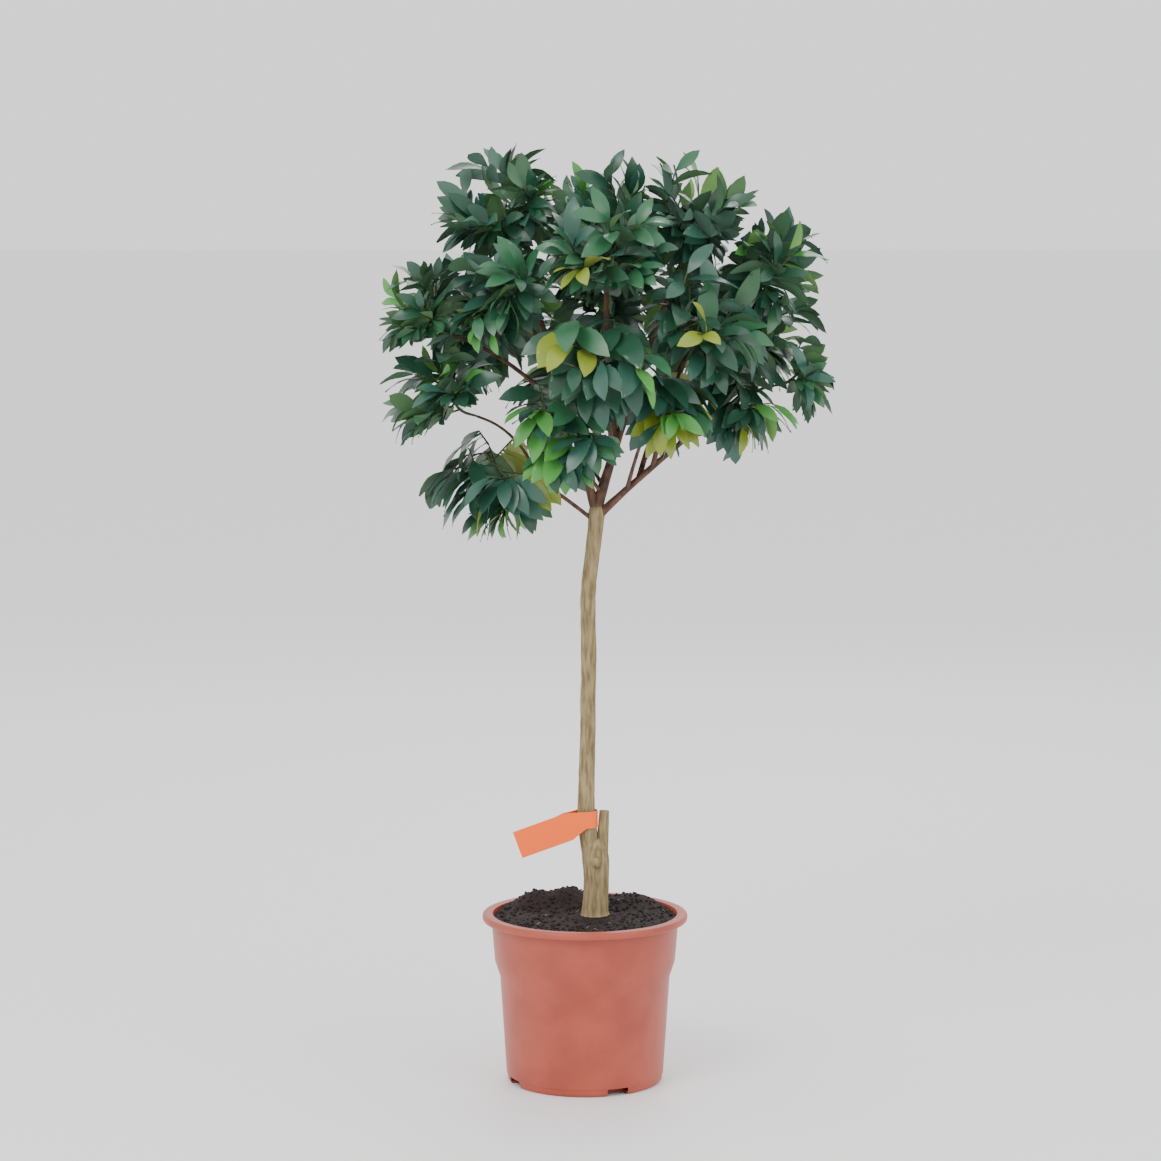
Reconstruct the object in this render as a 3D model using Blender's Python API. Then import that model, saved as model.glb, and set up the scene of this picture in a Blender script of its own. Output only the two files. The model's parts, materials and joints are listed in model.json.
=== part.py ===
"""A kumquat grown as a small standard tree: a bare grafted trunk with a loose round crown, in a plastic pot.

Metres, +Z up. The pot stands on z = 0 with its axis on the origin, and -Y is the side that faces the viewer.
Limbs are tapering tubes that run from a place on their parent to a tip. Each mass of foliage grows from
the tip of one limb by one seeded rule and keeps to its own space.
"""

import math
import random
from typing import NamedTuple

import bmesh
import bpy
from mathutils import Quaternion, Vector
from mathutils.bvhtree import BVHTree

# Clearance between neighbouring solids
GAP = 0.0003

# Pot
POT_HEIGHT = 0.182
RIM_RADIUS = 0.110
RIM_HEIGHT = 0.008
RIM_ROUNDING = 0.0030
COLLAR_TOP_RADIUS = 0.1010
COLLAR_FOOT_RADIUS = 0.0968
COLLAR_FOOT_HEIGHT = 0.131
STEP_FOOT_HEIGHT = 0.114
STEP_FOOT_RADIUS = 0.0912
FOOT_RADIUS = 0.0838
FOOT_BAND_HEIGHT = 0.0085
FOOT_BAND_SET_BACK = 0.0006
FOOT_ROUNDING = 0.0040
WALL = 0.0020
FLOOR = 0.0030
POT_SEGMENTS = 32
DRAIN_COUNT = 4
DRAIN_FIRST_ANGLE = math.radians(25)
DRAIN_WIDTH = 0.024
DRAIN_HEIGHT = 0.0080
DRAIN_INNER_RADIUS = 0.068

# Soil
GROUND_LEVEL = 0.1790
SOIL_EDGE_FRONT = 0.1725
SOIL_EDGE_BACK = 0.1800
SOIL_SEAT_RADIUS = 0.020
SOIL_RINGS = 5
# Heaps in the soil: x, y, height over the ground level, half width
SOIL_HEAPS = (
    (-0.055, 0.046, 0.017, 0.022),
    (-0.016, 0.060, 0.018, 0.024),
    (0.050, 0.064, 0.009, 0.030),
    (-0.070, -0.010, 0.003, 0.022),
    (0.060, -0.035, 0.002, 0.026),
)

# Trunk: height, sideways offset, depth offset and radius of each station, from the flat cut upwards
TRUNK_SIDES = 14
ROOTSTOCK = (
    (GROUND_LEVEL + GAP, 0.0110, 0.000, 0.0158),
    (0.1850, 0.0110, 0.000, 0.0143),
    (0.2050, 0.0120, 0.000, 0.0134),
    (0.2280, 0.0118, 0.000, 0.0137),
    (0.2420, 0.0110, 0.000, 0.0142),
    (0.2540, 0.0096, 0.000, 0.0125),
    (0.2620, 0.0085, 0.000, 0.0070),
)
SCION = (
    (0.2420, 0.0070, 0.000, 0.0095),
    (0.2640, 0.0040, 0.000, 0.0098),
    (0.2900, 0.0012, 0.000, 0.0092),
    (0.3300, 0.0018, 0.001, 0.0086),
    (0.3690, 0.0028, 0.002, 0.0083),
    (0.4120, 0.0033, 0.001, 0.0081),
    (0.4550, 0.0042, 0.000, 0.0080),
    (0.4980, 0.0033, -0.001, 0.0079),
    (0.5240, 0.0034, -0.001, 0.0078),
    (0.5490, 0.0054, 0.000, 0.0078),
    (0.5750, 0.0085, 0.000, 0.0078),
    (0.6000, 0.0112, 0.000, 0.0082),
    (0.6120, 0.0124, 0.000, 0.0088),
    (0.6185, 0.0128, 0.000, 0.0074),
    (0.6215, 0.0130, 0.000, 0.0040),
)
STUB_FOOT = Vector((0.0170, 0.001, 0.2250))
STUB_TOP = Vector((0.0206, 0.003, 0.2920))
STUB_FOOT_RADIUS = 0.0072
STUB_TOP_RADIUS = 0.0052
STUB_SIDES = 9
KNOT_HEIGHT = 0.2390
KNOT_RADIUS = 0.0052
KNOT_DEPTH = 0.0170
KNOT_HOLE_RADIUS = 0.0024

# Tag: a strip stuck to itself round the trunk
TAG_TILT = math.radians(20)
TAG_WIDTH = 0.0300
TAG_LOOP_WIDTH = 0.0180
TAG_FLAG_LENGTH = 0.0740
TAG_THICKNESS = 0.0005
TAG_LOOP_X = 0.0020
TAG_LOOP_HEIGHT = 0.2840
TAG_LOOP_RADIUS = 0.0115
TAG_TAIL_LENGTH = 0.0160
TAG_TAIL_GAP = 0.0012

# Limbs
LIMB_SIDES = 5
LIMB_STATIONS = 5
LIMB_TIP_AT = 0.50
BRANCH_COLLAR = 1.25
BRANCH_COLLAR_LENGTH = 0.12

# Crown
CROWN_HEART = Vector((0.020, 0.010, 0.770))
SPACE_MARGIN = 0.0004
GOLDEN_ANGLE = math.pi * (3 - math.sqrt(5))

# Twigs
STEM_RADIUS = 0.0021
STEM_SIDES = 4
STEM_TRIES = 16
STEM_SIDESTEP = 0.10
TWIG_RADIUS = 0.0012
TWIG_TIP_RADIUS = 0.0010
TWIG_SIDES = 3
SHOOT_CONE = math.radians(125)
SHOOT_SHARE = 0.56
SHOOT_REACH = 0.80
SHOOT_SHORTEST = 0.010

# Leaves
LEAF_WIDTH = 0.45
LEAF_SHOULDER_AT = 0.33
LEAF_SHOULDER_RISE = 0.085
LEAF_CHEEK_AT = 0.66
LEAF_CHEEK_WIDTH = 0.86
LEAF_CHEEK_RISE = 0.100
LEAF_TWIST = 0.012
LEAF_TURNS = 12
LEAF_LENGTHS = (1.0, 0.85, 0.70)
FACE_UP = 0.65
FACE_OUT = 0.7
FACE_STRAY = 0.9
ROOT_PART = 0.30

# Fruit
FRUIT_LENGTH = 0.0205
FRUIT_WIDTH = 0.0170
FRUIT_SIDES = 6
FRUIT_RINGS = 3
FRUIT_TRIES = 12


class Limb(NamedTuple):
    """A tapering limb: where it leaves its parent, and its tip or the mass that it carries."""

    name: str
    parent: str
    at: float
    base_radius: float
    tip_radius: float
    bow: tuple
    tip: tuple = None


class Mass(NamedTuple):
    """A mass of foliage: its limb, its middle, how far it reaches, and how its shoots and leaves grow."""

    name: str
    limb: str
    centre: tuple
    reach: float
    shoots: int
    leaves: int
    leaf: float
    hang: float
    fruits: int = 0


# bow is how far the middle of the limb is pushed sideways, in depth and up from its straight run
LIMBS = (
    Limb("bough_left", "trunk", 0.85, 0.0046, 0.0021, (0.003, 0.000, 0.000)),
    Limb("bough_centre", "trunk", 0.93, 0.0052, 0.0022, (-0.003, 0.004, 0.000)),
    Limb("bough_right", "trunk", 0.83, 0.0043, 0.0020, (0.000, -0.003, 0.003)),
    Limb("bough_low_left", "trunk", 0.80, 0.0023, 0.0019, (0, 0, 0.001), (-0.0505, -0.006, 0.6490)),
    Limb("bough_inner_front", "bough_centre", 0.060, 0.0020, 0.0015, (-0.004, 0.006, 0.000)),
    Limb("bough_inner_back", "bough_centre", 0.085, 0.0020, 0.0015, (-0.006, 0.000, 0.000)),
    Limb("branch_upper_left", "bough_left", 0.52, 0.0026, 0.0017, (0, 0, 0.010)),
    Limb("branch_far_left", "bough_left", 0.36, 0.0028, 0.0017, (0, 0, 0.012)),
    Limb("branch_back_left", "bough_left", 0.42, 0.0028, 0.0017, (0, 0, 0.012)),
    Limb("branch_left_hanging", "bough_low_left", 0.93, 0.0017, 0.0014, (0, 0, 0.006)),
    Limb("branch_left_low", "bough_low_left", 0.97, 0.0017, 0.0014, (0.006, 0, 0.010)),
    Limb("branch_top_middle", "bough_centre", 0.26, 0.0034, 0.0019, (-0.006, 0, 0.000)),
    Limb("branch_centre_front", "bough_centre", 0.20, 0.0027, 0.0017, (0, -0.006, 0.012)),
    Limb("branch_back_middle", "bough_centre", 0.34, 0.0029, 0.0018, (0, 0.010, 0.012)),
    Limb("branch_upper_front", "branch_top_middle", 0.32, 0.0023, 0.0016, (0, -0.006, 0.012)),
    Limb("branch_top_back", "branch_top_middle", 0.48, 0.0022, 0.0016, (0, 0.006, 0.012)),
    Limb("branch_lower_front", "bough_right", 0.26, 0.0021, 0.0015, (0, -0.004, 0.006)),
    Limb("branch_back_right", "bough_right", 0.36, 0.0027, 0.0017, (0, 0.006, 0.014)),
    Limb("branch_right_front", "bough_right", 0.48, 0.0025, 0.0017, (0, -0.006, 0.014)),
    Limb("branch_right_shoulder", "bough_right", 0.58, 0.0023, 0.0016, (-0.008, 0, 0.010)),
    Limb("branch_right_side", "bough_right", 0.70, 0.0021, 0.0015, (0, 0.004, 0.010)),
    Limb("branch_far_right", "bough_right", 0.82, 0.0018, 0.0014, (0, 0.006, 0.008)),
)

MASSES = (
    Mass("foliage_top_left", "bough_left", (-0.082, 0.000, 0.927), 0.082, 6, 5, 0.056, 0.20, 2),
    Mass("foliage_top_right", "bough_centre", (0.113, 0.000, 0.912), 0.086, 6, 5, 0.056, 0.30, 2),
    Mass("foliage_right_low", "bough_right", (0.165, -0.010, 0.740), 0.076, 5, 4, 0.062, 1.10, 0),
    Mass("foliage_lower_left", "bough_inner_front", (-0.022, -0.085, 0.715), 0.078, 5, 4, 0.060, 1.00, 0),
    Mass("foliage_back_low", "bough_inner_back", (-0.015, 0.110, 0.740), 0.084, 5, 4, 0.062, 1.00, 1),
    Mass("foliage_upper_left", "branch_upper_left", (-0.088, -0.050, 0.848), 0.076, 5, 4, 0.058, 0.60, 1),
    Mass("foliage_far_left", "branch_far_left", (-0.165, -0.010, 0.820), 0.066, 6, 5, 0.046, 0.25, 1),
    Mass("foliage_back_left", "branch_back_left", (-0.095, 0.100, 0.820), 0.092, 6, 4, 0.060, 0.60, 1),
    Mass("foliage_left_hanging", "branch_left_hanging", (-0.098, -0.015, 0.674), 0.094, 6, 5, 0.070, 1.30, 0),
    Mass("foliage_left_low", "branch_left_low", (-0.142, -0.015, 0.745), 0.082, 6, 5, 0.058, 0.80, 1),
    Mass("foliage_top_middle", "branch_top_middle", (0.022, -0.010, 0.915), 0.082, 6, 5, 0.056, 0.30, 1),
    Mass("foliage_centre_front", "branch_centre_front", (0.018, -0.120, 0.790), 0.088, 6, 4, 0.080, 1.10, 0),
    Mass("foliage_back_middle", "branch_back_middle", (0.020, 0.150, 0.820), 0.092, 6, 4, 0.060, 0.60, 2),
    Mass("foliage_upper_front", "branch_upper_front", (0.022, -0.100, 0.880), 0.080, 6, 4, 0.058, 0.50, 0),
    Mass("foliage_top_back", "branch_top_back", (0.020, 0.095, 0.900), 0.084, 6, 4, 0.058, 0.40, 2),
    Mass("foliage_lower_front", "branch_lower_front", (0.078, -0.080, 0.748), 0.076, 5, 4, 0.064, 1.10, 1),
    Mass("foliage_back_right", "branch_back_right", (0.125, 0.110, 0.810), 0.092, 6, 4, 0.060, 0.60, 2),
    Mass("foliage_right_front", "branch_right_front", (0.115, -0.090, 0.815), 0.086, 6, 4, 0.066, 0.90, 1),
    Mass("foliage_right_shoulder", "branch_right_shoulder", (0.180, 0.000, 0.868), 0.080, 6, 5, 0.056, 0.40, 2),
    Mass("foliage_right_side", "branch_right_side", (0.184, 0.035, 0.800), 0.076, 5, 4, 0.060, 0.80, 0),
    Mass("foliage_far_right", "branch_far_right", (0.225, 0.000, 0.762), 0.060, 5, 4, 0.048, 0.80, 0),
)


def material(name, colour, roughness):
    """A plain Principled material of that linear colour."""
    made = bpy.data.materials.new(name)
    made.use_nodes = True
    shader = made.node_tree.nodes["Principled BSDF"]
    shader.inputs["Base Color"].default_value = (*colour, 1.0)
    shader.inputs["Roughness"].default_value = roughness
    return made


def add_object(name, points, faces, finish):
    """A mesh object with its faces turned outwards."""
    mesh = bpy.data.meshes.new(name)
    mesh.from_pydata([tuple(p) for p in points], [], faces)
    edit = bmesh.new()
    edit.from_mesh(mesh)
    bmesh.ops.recalc_face_normals(edit, faces=edit.faces)
    edit.to_mesh(mesh)
    edit.free()
    mesh.materials.append(finish)
    made = bpy.data.objects.new(name, mesh)
    bpy.context.scene.collection.objects.link(made)
    return made


def keep_main_shell(mesh):
    """Removes loose scraps and the inner shells of sealed hollows, which fills them."""
    edit = bmesh.new()
    edit.from_mesh(mesh)
    left = set(edit.faces)
    shells = []
    while left:
        queue = [left.pop()]
        shell = set(queue)
        while queue:
            for edge in queue.pop().edges:
                for face in edge.link_faces:
                    if face in left:
                        left.discard(face)
                        shell.add(face)
                        queue.append(face)
        shells.append(shell)
    shells.sort(key=lambda shell: sum(face.calc_area() for face in shell))
    for shell in shells[:-1]:
        bmesh.ops.delete(edit, geom=list(shell), context="FACES")
    edit.to_mesh(mesh)
    edit.free()


def combine(base, others, operation, solver="EXACT"):
    """Joins the others to the base, or cuts them from it, with one Boolean on a collection."""
    tools = bpy.data.collections.new(base.name + "_tools")
    bpy.context.scene.collection.children.link(tools)
    for other in others:
        bpy.context.scene.collection.objects.unlink(other)
        tools.objects.link(other)
    modifier = base.modifiers.new("combine", "BOOLEAN")
    modifier.operation = operation
    modifier.operand_type = "COLLECTION"
    modifier.collection = tools
    modifier.solver = solver
    graph = bpy.context.evaluated_depsgraph_get()
    made = bpy.data.meshes.new_from_object(base.evaluated_get(graph))
    base.modifiers.clear()
    base.data = made
    for other in others:
        bpy.data.objects.remove(other)
    bpy.data.collections.remove(tools)
    keep_main_shell(made)
    return base


def tube(points, radii, sides, spin=0.0):
    """Corner points and faces of a closed tube along the points, with flat ends."""
    corners, faces = [], []
    across = (points[1] - points[0]).orthogonal().normalized()
    for i, point in enumerate(points):
        before, after = points[max(i - 1, 0)], points[min(i + 1, len(points) - 1)]
        along = (after - before).normalized()
        across = (across - along * across.dot(along)).normalized()
        for k in range(sides):
            turn = Quaternion(along, spin + 2 * math.pi * k / sides)
            corners.append(point + turn @ across * radii[i])
    for i in range(len(points) - 1):
        for k in range(sides):
            a, b = i * sides + k, i * sides + (k + 1) % sides
            faces.append((a, b, b + sides, a + sides))
    faces.append(tuple(range(sides)))
    faces.append(tuple(range((len(points) - 1) * sides, len(points) * sides)))
    return corners, faces


def turned(profile, segments, place=lambda x, y, z: (x, y, z)):
    """Corner points and faces of a closed solid turned from (radius, height) pairs that start and end on the axis."""
    corners, faces, rings = [], [], []
    for radius, height in profile:
        count = segments if radius > 0 else 1
        rings.append(list(range(len(corners), len(corners) + count)))
        for k in range(count):
            angle = 2 * math.pi * k / segments
            corners.append(place(radius * math.cos(angle), radius * math.sin(angle), height))
    for low, high in zip(rings, rings[1:]):
        for k in range(segments):
            ring = [low[k % len(low)], low[(k + 1) % len(low)], high[(k + 1) % len(high)], high[k % len(high)]]
            face = tuple(dict.fromkeys(ring))
            if len(face) > 2:
                faces.append(face)
    return corners, faces


def wall_radius(height):
    """The pot's outer radius at a height under the rim."""
    line = (
        (0.0, FOOT_RADIUS),
        (STEP_FOOT_HEIGHT, STEP_FOOT_RADIUS),
        (COLLAR_FOOT_HEIGHT, COLLAR_FOOT_RADIUS),
        (POT_HEIGHT, COLLAR_TOP_RADIUS),
    )
    for (low, low_radius), (high, high_radius) in zip(line, line[1:]):
        if height <= high:
            share = (height - low) / (high - low)
            return low_radius + share * (high_radius - low_radius)
    return COLLAR_TOP_RADIUS


def arc(centre_radius, centre_height, radius, first, last, steps):
    """Points of a rounding in a turned profile, from the first angle to the last, in degrees."""
    found = []
    for i in range(steps + 1):
        angle = math.radians(first + (last - first) * i / steps)
        found.append((centre_radius + radius * math.cos(angle), centre_height + radius * math.sin(angle)))
    return found


def build_pot(plastic):
    """The pot: a tapered wall with a collar, a rolled rim, a foot band and drain notches at its foot."""
    band_radius = wall_radius(FOOT_BAND_HEIGHT)
    rim_foot = POT_HEIGHT - RIM_HEIGHT
    profile = [(0, 0)]
    profile += arc(FOOT_RADIUS - FOOT_BAND_SET_BACK - FOOT_ROUNDING, FOOT_ROUNDING, FOOT_ROUNDING, -90, -10, 2)
    profile += [
        (band_radius - FOOT_BAND_SET_BACK, FOOT_BAND_HEIGHT - FOOT_BAND_SET_BACK),
        (band_radius, FOOT_BAND_HEIGHT),
        (STEP_FOOT_RADIUS, STEP_FOOT_HEIGHT),
        (COLLAR_FOOT_RADIUS, COLLAR_FOOT_HEIGHT),
        (wall_radius(rim_foot), rim_foot),
    ]
    profile += arc(RIM_RADIUS - RIM_ROUNDING, rim_foot + RIM_ROUNDING, RIM_ROUNDING, -70, -5, 1)
    profile += arc(RIM_RADIUS - RIM_ROUNDING, POT_HEIGHT - RIM_ROUNDING, RIM_ROUNDING, 10, 90, 2)
    inner = [POT_HEIGHT - 0.0005, COLLAR_FOOT_HEIGHT, STEP_FOOT_HEIGHT, FLOOR]
    profile += [(COLLAR_TOP_RADIUS - WALL + 0.0010, POT_HEIGHT)]
    profile += [(wall_radius(height) - WALL, height) for height in inner]
    profile += [(0, FLOOR)]
    pot = add_object("pot", *turned(profile, POT_SEGMENTS), plastic)
    cutters = []
    for k in range(DRAIN_COUNT):
        angle = DRAIN_FIRST_ANGLE + 2 * math.pi * k / DRAIN_COUNT
        outward = Vector((math.sin(angle), -math.cos(angle), 0))
        across = Vector((-outward.y, outward.x, 0)) * DRAIN_WIDTH / 2
        near, far = outward * DRAIN_INNER_RADIUS, outward * RIM_RADIUS
        foot, head = Vector((0, 0, -0.002)), Vector((0, 0, DRAIN_HEIGHT))
        plan = [near - across, far - across, far + across, near + across]
        corners = [point + foot for point in plan] + [point + head for point in plan]
        sides = [(i, (i + 1) % 4, (i + 1) % 4 + 4, i + 4) for i in range(4)]
        cutters.append(add_object(f"drain_{k}", corners, sides + [(0, 1, 2, 3), (4, 5, 6, 7)], plastic))
    return combine(pot, cutters, "DIFFERENCE")


def soil_height(x, y):
    """The height of the soil's surface: heaps over a level that rises from the front to the back."""
    share = 0.5 + 0.5 * y / COLLAR_TOP_RADIUS
    height = SOIL_EDGE_FRONT + share * (SOIL_EDGE_BACK - SOIL_EDGE_FRONT)
    for heap_x, heap_y, rise, width in SOIL_HEAPS:
        apart = ((x - heap_x) ** 2 + (y - heap_y) ** 2) / width**2
        height += rise * math.exp(-apart)
    return height


def build_soil(peat):
    """The soil that fills the pot, with a flat seat for the trunk and heaps behind it."""
    seat_x, seat_y = ROOTSTOCK[0][1], ROOTSTOCK[0][2]
    edge = COLLAR_TOP_RADIUS - WALL - GAP

    def place(x, y, z):
        radius = math.hypot(x, y)
        if z < GROUND_LEVEL - GAP:
            return x, y, z
        share = max(0.0, (radius - SOIL_SEAT_RADIUS) / (edge - SOIL_SEAT_RADIUS))
        x, y = x + seat_x * (1 - share), y + seat_y * (1 - share)
        blend = min(1.0, 2.5 * share)
        return x, y, GROUND_LEVEL * (1 - blend) + soil_height(x, y) * blend

    low = [FLOOR + GAP, STEP_FOOT_HEIGHT, COLLAR_FOOT_HEIGHT, SOIL_EDGE_FRONT - 0.006]
    profile = [(0, low[0])]
    profile += [(wall_radius(height) - WALL - GAP, height) for height in low]
    for i in range(SOIL_RINGS + 1):
        share = i / SOIL_RINGS
        radius = edge - 0.0008 + (SOIL_SEAT_RADIUS - edge + 0.0008) * share
        profile.append((radius, GROUND_LEVEL))
    profile.append((0, GROUND_LEVEL))
    return add_object("soil", *turned(profile, POT_SEGMENTS, place), peat)


def stations(table):
    """The axis points and radii of a trunk table."""
    return [Vector((x, y, z)) for z, x, y, _ in table], [radius for *_, radius in table]


def build_trunk(bark):
    """The trunk: rootstock, graft and scion, with the cut stub beside the graft and a pruned knot in front."""
    trunk = add_object("trunk", *tube(*stations(ROOTSTOCK), TRUNK_SIDES), bark)
    scion = add_object("scion", *tube(*stations(SCION), TRUNK_SIDES), bark)
    stub_points = [STUB_FOOT, STUB_FOOT.lerp(STUB_TOP, 0.5), STUB_TOP]
    stub_radii = [STUB_FOOT_RADIUS, (STUB_FOOT_RADIUS + STUB_TOP_RADIUS) / 2, STUB_TOP_RADIUS]
    stub = add_object("stub", *tube(stub_points, stub_radii, STUB_SIDES), bark)
    knot_back = Vector((ROOTSTOCK[4][1] + 0.001, 0, KNOT_HEIGHT))
    knot_front = knot_back - Vector((0, KNOT_DEPTH, 0))
    knot_radii = [KNOT_RADIUS * 1.5, KNOT_RADIUS]
    knot = add_object("knot", *tube([knot_back, knot_front], knot_radii, STUB_SIDES), bark)
    combine(trunk, [scion, stub, knot], "UNION")
    hole = [knot_front.lerp(knot_back, 0.15), knot_front + Vector((0, -0.002, 0))]
    hole = add_object("hole", *tube(hole, [KNOT_HOLE_RADIUS] * 2, STUB_SIDES), bark)
    return combine(trunk, [hole], "DIFFERENCE")


def tag_path():
    """The strip's middle line seen from above, as (x, y) points, with each point's distance left of the trunk."""
    centre = Vector((TAG_LOOP_X, 0))
    flag = [Vector((-TAG_FLAG_LENGTH * (1 - i / 5), -TAG_LOOP_RADIUS)) for i in range(5)]
    loop = []
    for i in range(15):
        angle = math.radians(-90 + 250 * i / 14)
        loop.append(Vector((math.cos(angle), math.sin(angle))) * TAG_LOOP_RADIUS)
    tail = Vector((-TAG_LOOP_RADIUS - TAG_TAIL_LENGTH, -TAG_LOOP_RADIUS + TAG_TAIL_GAP))
    bend = loop[-1].lerp(tail, 0.45) + Vector((0, -0.0012))
    return [centre + point for point in flag + loop + [bend, tail]]


def build_tag(film):
    """The tag: a thin strip that passes in front of the trunk, round it, and back behind its own flag."""
    path = tag_path()
    corners = []
    for i, point in enumerate(path):
        before, after = path[max(i - 1, 0)], path[min(i + 1, len(path) - 1)]
        run = (after - before).normalized()
        normal = Vector((run.y, -run.x))
        left = max(0.0, TAG_LOOP_X - point.x)
        tilt = TAG_TILT * min(1.0, left / 0.02)
        width = TAG_LOOP_WIDTH + (TAG_WIDTH - TAG_LOOP_WIDTH) * min(1.0, left / 0.02)
        middle = TAG_LOOP_HEIGHT - left * math.tan(TAG_TILT)
        for side in (-0.5, 0.5):
            for face in (-0.5, 0.5):
                x = point.x + normal.x * face * TAG_THICKNESS - side * width * math.sin(tilt)
                y = point.y + normal.y * face * TAG_THICKNESS
                corners.append(Vector((x, y, middle + side * width * math.cos(tilt))))
    faces = [(0, 1, 3, 2)]
    for i in range(len(path) - 1):
        a = 4 * i
        ring = [a, a + 1, a + 3, a + 2]
        for k in range(4):
            b, c = ring[k], ring[(k + 1) % 4]
            faces.append((b, c, c + 4, b + 4))
    last = 4 * (len(path) - 1)
    faces.append((last, last + 1, last + 3, last + 2))
    return add_object("tag", corners, faces, film)


def limb_line(start, tip, bow):
    """Points of a limb's axis, from its start to its tip, bowed in its middle."""
    middle = (start + tip) / 2 + 2 * Vector(bow)
    points = []
    for i in range(LIMB_STATIONS + 1):
        t = i / LIMB_STATIONS
        points.append(start * (1 - t) ** 2 + middle * 2 * t * (1 - t) + tip * t**2)
    return points


def along_line(points, share):
    """The point at that share of a line's stations."""
    place = share * (len(points) - 1)
    i = min(int(place), len(points) - 2)
    return points[i].lerp(points[i + 1], place - i)


def limb_routes():
    """Each limb's axis points and radii by name, with the trunk's scion as the first."""
    points, radii = stations(SCION)
    routes = {"trunk": (points, radii)}
    carried = {mass.limb: mass for mass in MASSES}
    for limb in LIMBS:
        start = along_line(routes[limb.parent][0], limb.at)
        if limb.tip:
            tip = Vector(limb.tip)
        else:
            mass = carried[limb.name]
            centre = Vector(mass.centre)
            tip = centre - (centre - start).normalized() * mass.reach * LIMB_TIP_AT
        line = limb_line(start, tip, limb.bow)
        taper = []
        for i in range(len(line)):
            t = i / (len(line) - 1)
            collar = 1 + (BRANCH_COLLAR - 1) * max(0.0, 1 - t / BRANCH_COLLAR_LENGTH)
            taper.append((limb.base_radius + (limb.tip_radius - limb.base_radius) * t) * collar)
        routes[limb.name] = (line, taper)
    return routes


def swollen(name, route, finish, sides, by):
    """A copy of a limb that is thicker and longer at its tip by that much, to cut or keep others clear."""
    points, radii = route
    ahead = (points[-1] - points[-2]).normalized() * by
    points = points[:-1] + [points[-1] + ahead]
    return add_object(name, *tube(points, [radius + by / math.cos(math.pi / sides) for radius in radii], sides), finish)


def build_limbs(routes, bark):
    """The limbs, each cut clear of the trunk and of the limbs that it grows beside."""
    made = []
    for n, limb in enumerate(LIMBS):
        line, radii = routes[limb.name]
        start = line[0]
        obj = add_object(limb.name, *tube(line, radii, LIMB_SIDES), bark)
        cutters = [swollen("cut_trunk", routes["trunk"], bark, TRUNK_SIDES, GAP)]
        for other in LIMBS[:n]:
            other_line = routes[other.name][0]
            if other.name == limb.parent or (other_line[0] - start).length < 0.045:
                cutters.append(swollen("cut_" + other.name, routes[other.name], bark, LIMB_SIDES, GAP))
        made.append(combine(obj, cutters, "DIFFERENCE"))
    return made


def leaf_shape(root, along, face, length):
    """Corner points and faces of a leaf: an arched blade of eight faces, pointed at both ends.

    Its six corners all lie on its margin. The upper side and the underside join them by different
    diagonals, and a slight twist between the two leaves a thin body between them.
    """
    side = along.cross(face).normalized()
    face = side.cross(along).normalized()

    def corner(at, width, rise):
        return root + (along * at + side * width * LEAF_WIDTH / 2 + face * rise) * length

    corners = [
        root,
        corner(LEAF_SHOULDER_AT, -1, LEAF_SHOULDER_RISE - LEAF_TWIST),
        corner(LEAF_CHEEK_AT, -LEAF_CHEEK_WIDTH, LEAF_CHEEK_RISE + LEAF_TWIST),
        root + along * length,
        corner(LEAF_CHEEK_AT, LEAF_CHEEK_WIDTH, LEAF_CHEEK_RISE - LEAF_TWIST),
        corner(LEAF_SHOULDER_AT, 1, LEAF_SHOULDER_RISE + LEAF_TWIST),
    ]
    upper = [(0, 1, 5), (1, 2, 5), (5, 2, 4), (2, 3, 4)]
    under = [(1, 2, 3), (1, 3, 4), (1, 4, 0), (0, 4, 5)]
    return corners, upper + under


def fruit_shape(top, down):
    """Corner points and faces of a fruit that hangs from its top point."""
    centre = top + down * FRUIT_LENGTH / 2
    side = down.orthogonal().normalized()
    corners = [top]
    for i in range(1, FRUIT_RINGS + 1):
        angle = math.pi * i / (FRUIT_RINGS + 1)
        for k in range(FRUIT_SIDES):
            out = Quaternion(down, 2 * math.pi * k / FRUIT_SIDES) @ side
            reach = out * math.sin(angle) * FRUIT_WIDTH / 2
            corners.append(centre - down * math.cos(angle) * FRUIT_LENGTH / 2 + reach)
    corners.append(centre + down * FRUIT_LENGTH / 2)
    faces, last = [], len(corners) - 1
    for k in range(FRUIT_SIDES):
        a, b = 1 + k, 1 + (k + 1) % FRUIT_SIDES
        faces.append((0, a, b))
        for i in range(FRUIT_RINGS - 1):
            step = i * FRUIT_SIDES
            faces.append((a + step, b + step, b + step + FRUIT_SIDES, a + step + FRUIT_SIDES))
        step = (FRUIT_RINGS - 1) * FRUIT_SIDES
        faces.append((a + step, b + step, last))
    return corners, faces


def shape_tree(shape):
    """The search tree of a shape, for finding overlaps."""
    return BVHTree.FromPolygons(*shape)


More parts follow.
